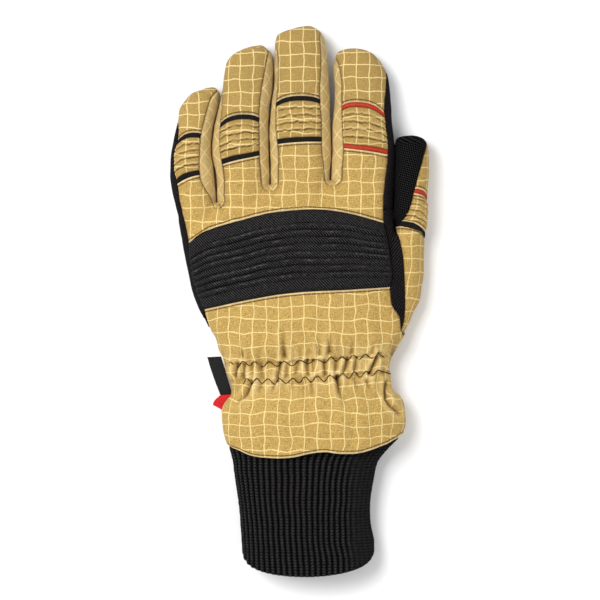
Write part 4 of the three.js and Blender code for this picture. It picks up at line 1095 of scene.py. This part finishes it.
# shadow lines of the folds: points in the photograph, half width in mm, depth in mm at the first and last point
CREASES = [
    ([(283.6, 326), (283.2, 342.7), (284.8, 357.3)], 1.5, 0.15, 1.9), ([(240.5, 348), (242.2, 357)], 1.2, 0.3, 1.3),
    ([(318.5, 338), (319.3, 354.3)], 1.3, 0.2, 1.3), ([(330.5, 331), (329.3, 353)], 1.4, 0.15, 1.7),
    ([(300, 346), (301, 358)], 1.3, 0.1, 0.8), ([(354, 340), (352, 354)], 1.3, 0.1, 0.8),
    ([(373.5, 344), (372, 352.7)], 1.2, 0.3, 1.3), ([(236.4, 365), (234.7, 377)], 1.1, 1.3, 1.2),
    ([(243.8, 365), (243.5, 378)], 1.1, 1.3, 1.3), ([(252, 366), (253, 377)], 1.1, 0.9, 0.9),
    ([(261, 366), (263, 378)], 1.1, 0.9, 0.8), ([(280.3, 363), (277.9, 380)], 1.2, 1.5, 1.5),
    ([(287, 366), (287, 376)], 1.0, 0.7, 0.9), ([(298, 363), (296, 373)], 1.0, 0.7, 0.8),
    ([(306.9, 362), (308.5, 375)], 1.2, 1.4, 1.4), ([(313, 361), (313, 372)], 1.0, 1.0, 0.9),
    ([(324.3, 363), (325.1, 374)], 1.1, 1.3, 1.2), ([(337, 361), (335, 371)], 1.0, 0.9, 0.9),
    ([(347.5, 361), (343.3, 373)], 1.2, 1.4, 1.3), ([(357, 359), (355, 369)], 1.1, 1.1, 1.1),
    ([(378.2, 354), (370.7, 373)], 1.4, 1.8, 1.8), ([(251.3, 382), (246.3, 394), (237, 402.4)], 1.6, 2.0, 0.4),
    ([(261, 385), (259, 394)], 1.3, 0.9, 0.1), ([(274.5, 383), (272.5, 393)], 1.3, 1.3, 0.2),
    ([(292, 383), (293, 392)], 1.2, 0.8, 0.1), ([(311, 381), (312.7, 395)], 1.3, 1.5, 0.2),
    ([(336.7, 377), (339.2, 391), (344.2, 401)], 1.5, 2.0, 0.3), ([(354, 378), (357, 388)], 1.2, 0.9, 0.1),
    ([(367.4, 380), (371, 388)], 1.3, 1.3, 0.2),
    ([(387.3, 382), (386.5, 397), (390.6, 404), (399.7, 412.4)], 1.4, 1.5, 1.2),
]
CREASES = [([photo(*p) for p in line], *shape) for line, *shape in CREASES]


def wrist_relief(u, w, point, near):
    """Folds of the drawn-in cloth: the two pinched rows, the ripples they throw and the deeper creases, with painted
    shade along the rows, in the ripples' hollows and in the creases, and a painted highlight on the ripples and
    beside the creases.
    """
    x, y = point.x, point.y
    one, two = y - ROW_ONE(1, x), y - ROW_TWO(1, x)
    out = -1.3 * bump(one, 1.5) - 1.3 * bump(two, 1.5)
    shade = -0.25 * bump(one, 1.2) - 0.25 * bump(two, 1.2)
    pinch = max(bump(one, 6), bump(two, 6))
    ripple = noise.noise(Vector((x / 3.3 + y / 40, y / 22, 3.1)))
    out += 2.0 * pinch * ripple
    shade += 0.7 * pinch * min(ripple + 0.1, 0.25)
    loose = 1 if y < -14 else max(0, (y + 4) / -10)
    out += 1.5 * loose * noise.noise(Vector((x / 8 + y / 60, y / 34, 7.7)))
    out += slack(point, 11, 0.5)
    for line, width, first, last in CREASES:
        if abs(x - line[0][0]) < 16 and abs(y - line[0][1]) < 26:
            away, along = nearest(line, x, y)
            depth = lerp(first, last, along)
            out += depth * (0.5 * bump(away - width * 1.8, width) - 1.4 * bump(away, width * 0.8))
            shade -= 0.6 * depth * bump(away, width * 0.5) - 0.15 * depth * bump(away - width * 2, width)
    ease = min(1, 0.3 + near / 6)
    side = min(x - wrist_left(y), wrist_right(y) - x)
    return out * ease * min(1, 0.1 + max(side, 0) / 5), max(shade, -0.95) * ease


def wrist_drift(point):
    near_rows = bump(point.y + 43, 14)
    u = 3.6 + 1.0 * noise.noise(Vector((point.x / 15, point.y / 15, 1.2)))
    u += (0.5 + 1.2 * near_rows) * noise.noise(Vector((point.x / 5, point.y / 9, 3.4)))
    v = -3 + 1.9 * noise.noise(Vector((point.x / 19, point.y / 17, 9.4)))
    v += (0.5 + 1.4 * near_rows) * noise.noise(Vector((point.x / 6, point.y / 11, 5.4)))
    return u, v


def along_y(curve, y):
    """The place on a curve that runs down the plan, at a height of it."""
    rising = curve(1.0)[1] > curve(0.0)[1]
    return curve(halved(lambda share: (curve(share)[1] < y) == rising, 22))[0]


guard_bottom_table = smooth_table([hand_place(p) for p in GUARD_BOTTOM])
guard_foot_left, guard_foot_right = hand_place(GUARD_BOTTOM[0]), hand_place(GUARD_BOTTOM[-1])
band_point = hand_place(BAND_LEFT[-1])


def wrist_left(y):
    if y > FREE_LEFT_Y:
        share = (y - FREE_LEFT_Y) / (guard_foot_left[1] - FREE_LEFT_Y)
        return lerp(left_side(1, FREE_LEFT_Y), guard_foot_left[0], min(share, 1))
    return left_side(1, y)


def wrist_right(y):
    if y > band_point[1]:
        return along_y(band_left, min(y, guard_foot_right[1]))
    if y > FREE_RIGHT_Y:
        share = (y - FREE_RIGHT_Y) / (band_point[1] - FREE_RIGHT_Y)
        return lerp(right_side(1, FREE_RIGHT_Y), band_point[0], share)
    return right_side(1, y)


def wrist_ring(y):
    left, right, crown, equator, floor = hand_ring(y)
    if y < FREE_RIGHT_Y:
        left, right = left_side(1, y), right_side(1, y)
    elif y < FREE_RIGHT_Y + 10:
        t = (y - FREE_RIGHT_Y) / 10
        left, right = lerp(left_side(1, y), left, t), lerp(right_side(1, y), right, t)
    return left, right, crown, equator, floor


def wrist_height(x, y):
    z = ring_top(wrist_ring(y), x)
    if x > 30 and y > -45:
        z = smooth_max(z, tube_top(thumb, x, y), 5.0)
    return z


def wrist_place(u, w):
    even = (1 - math.cos(math.pi * u)) / 2
    hem_y = hem_table(1, lerp(left_side(1, -85), right_side(1, -77), even))
    top_y = guard_bottom_table(1, lerp(guard_foot_left[0], guard_foot_right[0], even))
    y = lerp(hem_y, top_y, w)
    x = lerp(wrist_left(y), wrist_right(y), even)
    return x, y, wrist_height(x, y)


cloth = Cloth()
cloth.patch(230, 170, wrist_place, below, {"bottom": "fold"}, wrist_relief, "share",
            [("fold", [guard_bottom(i / 12) for i in range(13)]), ("seam", [band_left(i / 8) for i in range(9)])],
            line_x=6.6, drift=wrist_drift, width=113)
cloth.piece("wrist_back_panel", "khaki_ripstop")


def wrist_front_place(u, w):
    angle = math.pi + math.pi * u
    c = math.cos(angle)
    left, right, *_ = hand_ring(-83)
    hx = (left + right) / 2 + (right - left) / 2 * math.copysign(abs(c) ** (2 / FLOOR_POWER), c)
    y = lerp(hem_table(1, hx), PALM_SEAM_Y, w)
    return soft_point(wrist_ring(y), y, angle)


cloth = Cloth()
cloth.patch(80, 60, wrist_front_place, above, {"bottom": "fold", "top": "seam"},
            lambda u, w, p, n: -0.5 * bump(p.y + 39, 2) - 0.5 * bump(p.y + 48, 2) + slack(p, 14, 0.3))
cloth.piece("wrist_front_panel", "khaki_ripstop")


# ---------------------------------------------------------------------------------------------
# Palm, band beside the thumb, thumb
# ---------------------------------------------------------------------------------------------
def band_side(y):
    """The palm's edge beside the thumb at a height of the plan."""
    return along_y(band_right, y)


def hand_left_seam(y):
    """Where the palm's black cloth starts on the left of the back."""
    if y > fingers[0].root:
        return seam_x(fingers[0], "left", y)
    corner_top, corner_bottom = guard_top(0.0), guard_bottom(0.0)
    if y > corner_top[1]:
        t = (y - corner_top[1]) / (fingers[0].root - corner_top[1])
        return lerp(corner_top[0], seam_x(fingers[0], "left", fingers[0].root), t)
    if y > corner_bottom[1]:
        return along_y(guard_left, y)
    t = (corner_bottom[1] - y) / (corner_bottom[1] + 20)
    return lerp(corner_bottom[0], hand_ring(y)[0], min(t, 1))


def palm_ring(y):
    left, *rest = hand_ring(min(y, knuckle_y))
    if y > fingers[0].root:
        left = min(left, edge_x(fingers[0], "left", min(y, 50)) + 0.15)
    return (left, *rest)


def palm_strip(u, w):
    y = lerp(PALM_SEAM_Y, 47, w)
    ring = palm_ring(y)
    seam = hand_left_seam(y)
    share = (seam - (ring[0] + ring[1]) / 2) / ((ring[1] - ring[0]) / 2)
    first = angle_above(max(-1, min(share, 1)))
    point = soft_point(ring, y, lerp(first, math.pi, u))
    point.z = max(point.z, back_height(point.x, y) if point.x > ring[0] + 0.2 else point.z)
    return point


def palm_under(u, w):
    def place(y):
        ring = palm_ring(y)
        end = min(band_side(y), ring[1]) if y < BAND_TOP_Y else ring[1]
        share = (end - (ring[0] + ring[1]) / 2) / ((ring[1] - ring[0]) / 2)
        last = 2 * math.pi - math.acos(max(-1, min(share, 1)) ** (FLOOR_POWER / 2))
        return soft_point(ring, y, lerp(math.pi, last, u)), ring[3]

    y = lerp(PALM_SEAM_Y, 60, w)
    point, equator = place(y)
    if y > web_end(point.x):
        point, equator = place(web_end(point.x))
    point.z = equator + (point.z - equator) * closing(point.x, y)
    return point


def black_band(u, w):
    """Beside the guard and the index finger's root, down to the point."""
    y = lerp(band_right(0.0)[1], BAND_TOP_Y + 12, w)
    right = band_side(min(y, BAND_TOP_Y - 0.1)) if y < BAND_TOP_Y else seam_x(fingers[3], "right", y) + 6
    if y < hand_place(BAND_LEFT[0])[1]:
        left = along_y(band_left, y)
    elif y < guard_right(0.0)[1]:
        left = along_y(guard_right, y)
    else:
        left = seam_x(fingers[3], "right", y)
    x = lerp(left, max(right, left), u)
    return x, y, back_height(x, y)


cloth = Cloth()
cloth.patch(26, 70, palm_strip, lambda p: (0, p.y, 10), {"left": "seam"}, slack_cloth(9, 0.3))
cloth.patch(70, 80, palm_under, above, {"bottom": "seam", "right": "seam"}, slack_cloth(16, 0.4))
cloth.patch(16, 60, black_band, below, SEWN_SIDES, slack_cloth(9, 0.3))
cloth.piece("palm_panel", "black_cloth", weld=0.01)


def thumb_span(bottom, top):
    def place(u, w):
        # u up to 0.6 is the back, the rest wraps under
        side = min(u / 0.6, 1)
        past = max(u - 0.6, 0) / 0.4
        y = lerp(bottom(side), top(side), w) - 4 * past
        share = seam_share(thumb, "left", y)
        first = angle_above(max(-1.0, min(share, 1.0)))
        last = angle_below(max(-1.0, min(share, 1.0))) - 2 * math.pi
        angle = lerp(first, 0, side) if u <= 0.6 else lerp(0, last, past)
        return soft_point(tube_ring(thumb, y), y, angle)
    return place


def thumb_edge(stripe, down):
    return lambda u: stripe_y(thumb, stripe, down, u)


thumb_heart = tube_heart(thumb)
thumb_top_y = thumb.root + thumb.length * 0.965
cloth = Cloth()
cloth.patch(44, 36, thumb_span(thumb_edge(thumb.upper, 0), lambda u: thumb_top_y), thumb_heart,
            {**SEWN_SIDES, "bottom": "fold"}, slack_cloth(8, 0.3))
cloth.piece("thumb_tip_back", "khaki_ripstop")
cloth = Cloth()
cloth.patch(44, 80, thumb_span(thumb_edge(thumb.lower, 0), thumb_edge(thumb.upper, STRIPE_WIDTH)), thumb_heart,
            {**SEWN_SIDES, "bottom": "fold", "top": "fold"}, tuck_relief(thumb.x))
cloth.piece("thumb_knuckle_pad", "khaki_ripstop")
for part, stripe, slot in (("upper", thumb.upper, "red_tape"), ("lower", thumb.lower, "black_cloth")):
    cloth = Cloth()
    cloth.patch(44, 8, thumb_span(thumb_edge(stripe, STRIPE_WIDTH), thumb_edge(stripe, 0)), thumb_heart,
                {**SEWN_SIDES, "bottom": "fold", "top": "fold"}, lambda u, w, p, n: 0.1)
    cloth.piece(f"thumb_{part}_stripe", slot, "tape", TAPES[slot], roll=0.35)


def thumb_front_place(u, w):
    start = stripe_y(thumb, thumb.lower, STRIPE_WIDTH, 0) - 8
    low = (start - thumb.root) / thumb.length
    y = thumb.root + thumb.length * (1 - (1 - low) * (1 - w) ** 2)
    share = seam_share(thumb, "left", y)
    if share > 1:
        first, last = angle_above(share), 2 * math.pi + angle_above(share)
    else:
        first, last = angle_above(max(share, -1.0)), angle_below(max(share, -1.0))
    return soft_point(tube_ring(thumb, y), y, lerp(first, last, u))


cloth = Cloth()
cloth.patch(50, 70, thumb_front_place, thumb_heart, SEWN_SIDES,
            slack_cloth(9, 0.35))
cloth.piece("thumb_front", "grip_cloth")


def base_top(u):
    return stripe_y(thumb, thumb.lower, STRIPE_WIDTH, u)


def thumb_right(y):
    tube = tube_ring(thumb, y)[1]
    if y > 12:
        return tube
    return lerp(right_side(1, y), tube, min(max((y - 2) / 10, 0), 1)) - 0.9 * bump(y + 26, 6)


def thumb_base_place(u, w):
    side = min(u / 0.65, 1)
    past = max(u - 0.65, 0) / 0.35
    y = lerp(lerp(band_point[1], FREE_RIGHT_Y, side), base_top(side), w)
    left = band_side(min(max(y, band_point[1]), BAND_TOP_Y))
    hand = hand_ring(y)
    tube = tube_ring(thumb, y)
    right = thumb_right(y)
    spread = math.sin(side * math.pi / 2)
    x = lerp(left, right, spread)
    level = lerp(hand[3], tube[3], min(max((y + 20) / 30, 0), 1))
    if past == 0:
        share = (1 - spread ** 4) ** 0.4
        return x, y, level if side >= 1 else max(lerp(level, back_height(min(x, right - 0.5), y), share), level)
    inward = 1 - math.cos(past * math.pi / 2)
    x = lerp(right, left, inward)
    depth = math.sin(past * math.pi / 2) ** 0.7
    return x, y, lerp(level, lerp(0, tube[4], min(max((y + 20) / 30, 0), 1)), depth)


cloth = Cloth()
cloth.patch(60, 70, thumb_base_place, lambda p: (60, p.y, 11), {**SEWN_SIDES, "top": "fold", "bottom": "seam"},
            lambda u, w, p, n: slack(p, 12, 0.5) * min(w * 4, 1))
cloth.piece("thumb_base", "khaki_ripstop")


# ---------------------------------------------------------------------------------------------
# Knitted cuff, label and tab
# ---------------------------------------------------------------------------------------------
cuff_shape = smooth_table(CUFF)


def cuff_ring(at):
    crown = cuff_shape(3, at) * CUFF_HEIGHT
    floor = max(cuff_shape(4, at), 0) * 2.5
    left, right = (CUFF_MIDDLE_X + cuff_shape(k, at) * CUFF_WIDTH for k in (1, 2))
    return left, right, crown, floor + (crown - floor) * HAND_EQUATOR, floor


def even_angles(ring, steps=400):
    """Angles that share a ring out evenly, and its girth."""
    run, last = [(0.0, 0.0)], soft_point(ring, 0, 0)
    for i in range(1, steps + 1):
        angle = 2 * math.pi * i / steps
        point = soft_point(ring, 0, angle)
        run.append((run[-1][0] + (point - last).length, angle))
        last = point
    girth = run[-1][0]
    table = [(length / girth, angle) for length, angle in run]

    def angle_at(share):
        i = min(max(bisect.bisect_right(table, (share, 99)) - 1, 0), steps - 1)
        (a, from_angle), (b, to_angle) = table[i], table[i + 1]
        return lerp(from_angle, to_angle, (share - a) / max(b - a, 1e-9))
    return angle_at, girth


cuff_angle, cuff_girth = even_angles(cuff_ring(0.5))
RIBS = round(cuff_girth / KNIT_RIB)


def cuff_place(u, w):
    angle = cuff_angle(u)
    at = lerp(-0.07, 1, w)
    bow = max(at, 0) ** 2 * (CUFF_BOW * abs(math.sin(angle)) ** 0.7 - 1.6 * max(math.cos(angle), 0))
    return soft_point(cuff_ring(max(at, 0)), CUFF_TOP_Y - at * CUFF_LENGTH - bow, angle)


def cuff_relief(u, w, point, near):
    """Knitted ribs, which flatten on the finer stretch at the right, with painted shade between the ribs."""
    bend = 0.22 * noise.noise(Vector((point.x / 26, point.y / 12, 2.2)))
    wave = math.cos(2 * math.pi * (RIBS * u + bend))
    plain = 1 - 0.75 * min(max((point.x - 29) / 6, 0), 1) * (1 if point.z > 9 else 0)
    end = 0.5 * bump(w - 0.985, 0.02) * abs(math.sin(cuff_angle(u)))
    return 0.5 * wave * plain + end - 0.2 + 0.2 * noise.noise(point / 1.7), wave * plain


cloth = Cloth()
cloth.patch(RIBS * 8, 96, cuff_place, lambda p: (CUFF_MIDDLE_X, p.y, 11), None, cuff_relief, "share",
            width=RIBS * KNIT_RIB, drawn=1)
cloth.piece("knit_cuff", "cuff_knit", thickness=CUFF_THICKNESS, roll=1.0)


def tape_piece(node, slot, material, corners, bow):
    """A flat tape out of the side seam, curved a little; corners run round it in the photograph."""
    a, b, c, d = (photo(*p) for p in corners)

    def place(u, w):
        x = lerp(lerp(a[0], b[0], w), lerp(d[0], c[0], w), u)
        y = lerp(lerp(a[1], b[1], w), lerp(d[1], c[1], w), u)
        return x - bow * math.sin(math.pi * w) * u, y, 12.0 + 0.8 * math.sin(2.4 * w + 0.5) * u
    cloth = Cloth()
    cloth.patch(12, 24, place, below, {"bottom": "fold", "top": "fold"})
    cloth.piece(node, slot, "tape", material, thickness=LABEL_THICKNESS, roll=0.2)


tape_piece("side_label", "label_tape", None,
           [(221, 356.6), (232.5, 395.1), (220.3, 395.6), (207, 357.2)], 0.3)
tape_piece("red_tab", "red_tape", tab_tape,
           [(233, 394.5), (224, 411.2), (212.5, 405.4), (220.5, 395.2)], 0.9)


# ---------------------------------------------------------------------------------------------
# Stitches of the elastic rows
# ---------------------------------------------------------------------------------------------
ZIGZAG_ONE = [
    (229.5, 362), (238, 367), (243, 361), (250, 365.5), (254, 361.5), (263, 366.5), (269, 361.5), (277, 366),
    (284, 361), (292, 365.5), (300, 360), (308, 363.5), (316, 358.5), (325, 362.5), (331, 356.5), (336, 361),
    (342, 356.5), (347, 360), (353, 355), (359, 359), (365, 354), (371, 358), (378, 353), (384, 357),
]
ZIGZAG_TWO = [
    (243, 384), (247, 378), (252, 383.5), (257, 378), (262, 383), (268, 378.5), (275, 384), (279, 378), (286, 383),
    (293, 378), (299, 382.5), (305, 376.5), (311, 381.5), (317, 375.5), (324, 381), (330, 374.5), (336, 379),
    (342, 373.5), (349, 378), (354, 371.5), (360, 377), (366, 371), (372, 375.5), (378, 370), (384, 372), (391, 374),
]


def thread(name, runs, radius, material, slot):
    """Threads along runs of points in mm, made mesh."""
    curve = bpy.data.curves.new(name, "CURVE")
    curve.dimensions = "3D"
    curve.bevel_depth = radius * MM
    curve.bevel_resolution = 2
    curve.use_fill_caps = True
    for run in runs:
        spline = curve.splines.new("POLY")
        spline.points.add(len(run) - 1)
        for point, place in zip(spline.points, run):
            point.co = (*(Vector(place) * MM), 1)
    holder = placed(name, curve)
    mesh = bpy.data.meshes.new_from_object(holder)
    bpy.data.objects.remove(holder)
    bpy.data.curves.remove(curve)
    mesh.materials.append(material)
    for face in mesh.polygons:
        face.use_smooth = True
    obj = placed(name, mesh)
    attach(obj, "root")


def on_wrist(x, y):
    z = wrist_height(x, y)
    return z + wrist_relief(0, 0, Vector((x, y, z)), 9)[0]


def zigzag(points):
    """A rounded wave through its turning points."""
    run = []
    places = [photo(*p) for p in points]
    for (ax, ay), (bx, by) in zip(places, places[1:]):
        for i in range(8):
            x, y = lerp(ax, bx, i / 8), lerp(ay, by, (1 - math.cos(math.pi * i / 8)) / 2)
            run.append((x, y, on_wrist(x, y) + 0.05))
    x, y = places[-1]
    run.append((x, y, on_wrist(x, y) + 0.05))
    return run


thread("elastic_stitches", [zigzag(ZIGZAG_ONE), zigzag(ZIGZAG_TWO)], THREAD_RADIUS, brown_thread, "khaki_ripstop")


# ---------------------------------------------------------------------------------------------
# Floor, light, camera
# ---------------------------------------------------------------------------------------------
def studio():
    bm = bmesh.new()
    bmesh.ops.create_grid(bm, x_segments=4, y_segments=4, size=3)
    bmesh.ops.translate(bm, vec=(0, 0, -FLOOR_GAP), verts=bm.verts)
    mesh = bpy.data.meshes.new("floor")
    bm.to_mesh(mesh)
    bm.free()
    floor = placed("floor", mesh)
    f = Finish("pale_floor")
    mesh.materials.append(f.finish(FLOOR_COLOUR, 0.9))
    world = bpy.data.worlds.new("studio")
    world.use_nodes = True
    world.node_tree.nodes["Background"].inputs[0].default_value = BACKGROUND
    world.node_tree.nodes["Background"].inputs[1].default_value = WORLD_LIGHT
    bpy.context.scene.world = world
    for name, place, size, power in LAMPS:
        light = bpy.data.lights.new(name, "AREA")
        light.size = size
        light.energy = power
        lamp = placed(name, light)
        lamp.location = place
        lamp.rotation_euler = (-Vector(place)).to_track_quat("-Z", "Y").to_euler()
    camera = bpy.data.cameras.new("camera")
    camera.lens = CAMERA_LENS
    camera.sensor_width = 36
    camera.clip_end = 20
    eye = placed("camera", camera)
    eye.location = CAMERA_PLACE
    bpy.context.scene.camera = eye
    bpy.context.scene.view_settings.view_transform = "Standard"


studio()
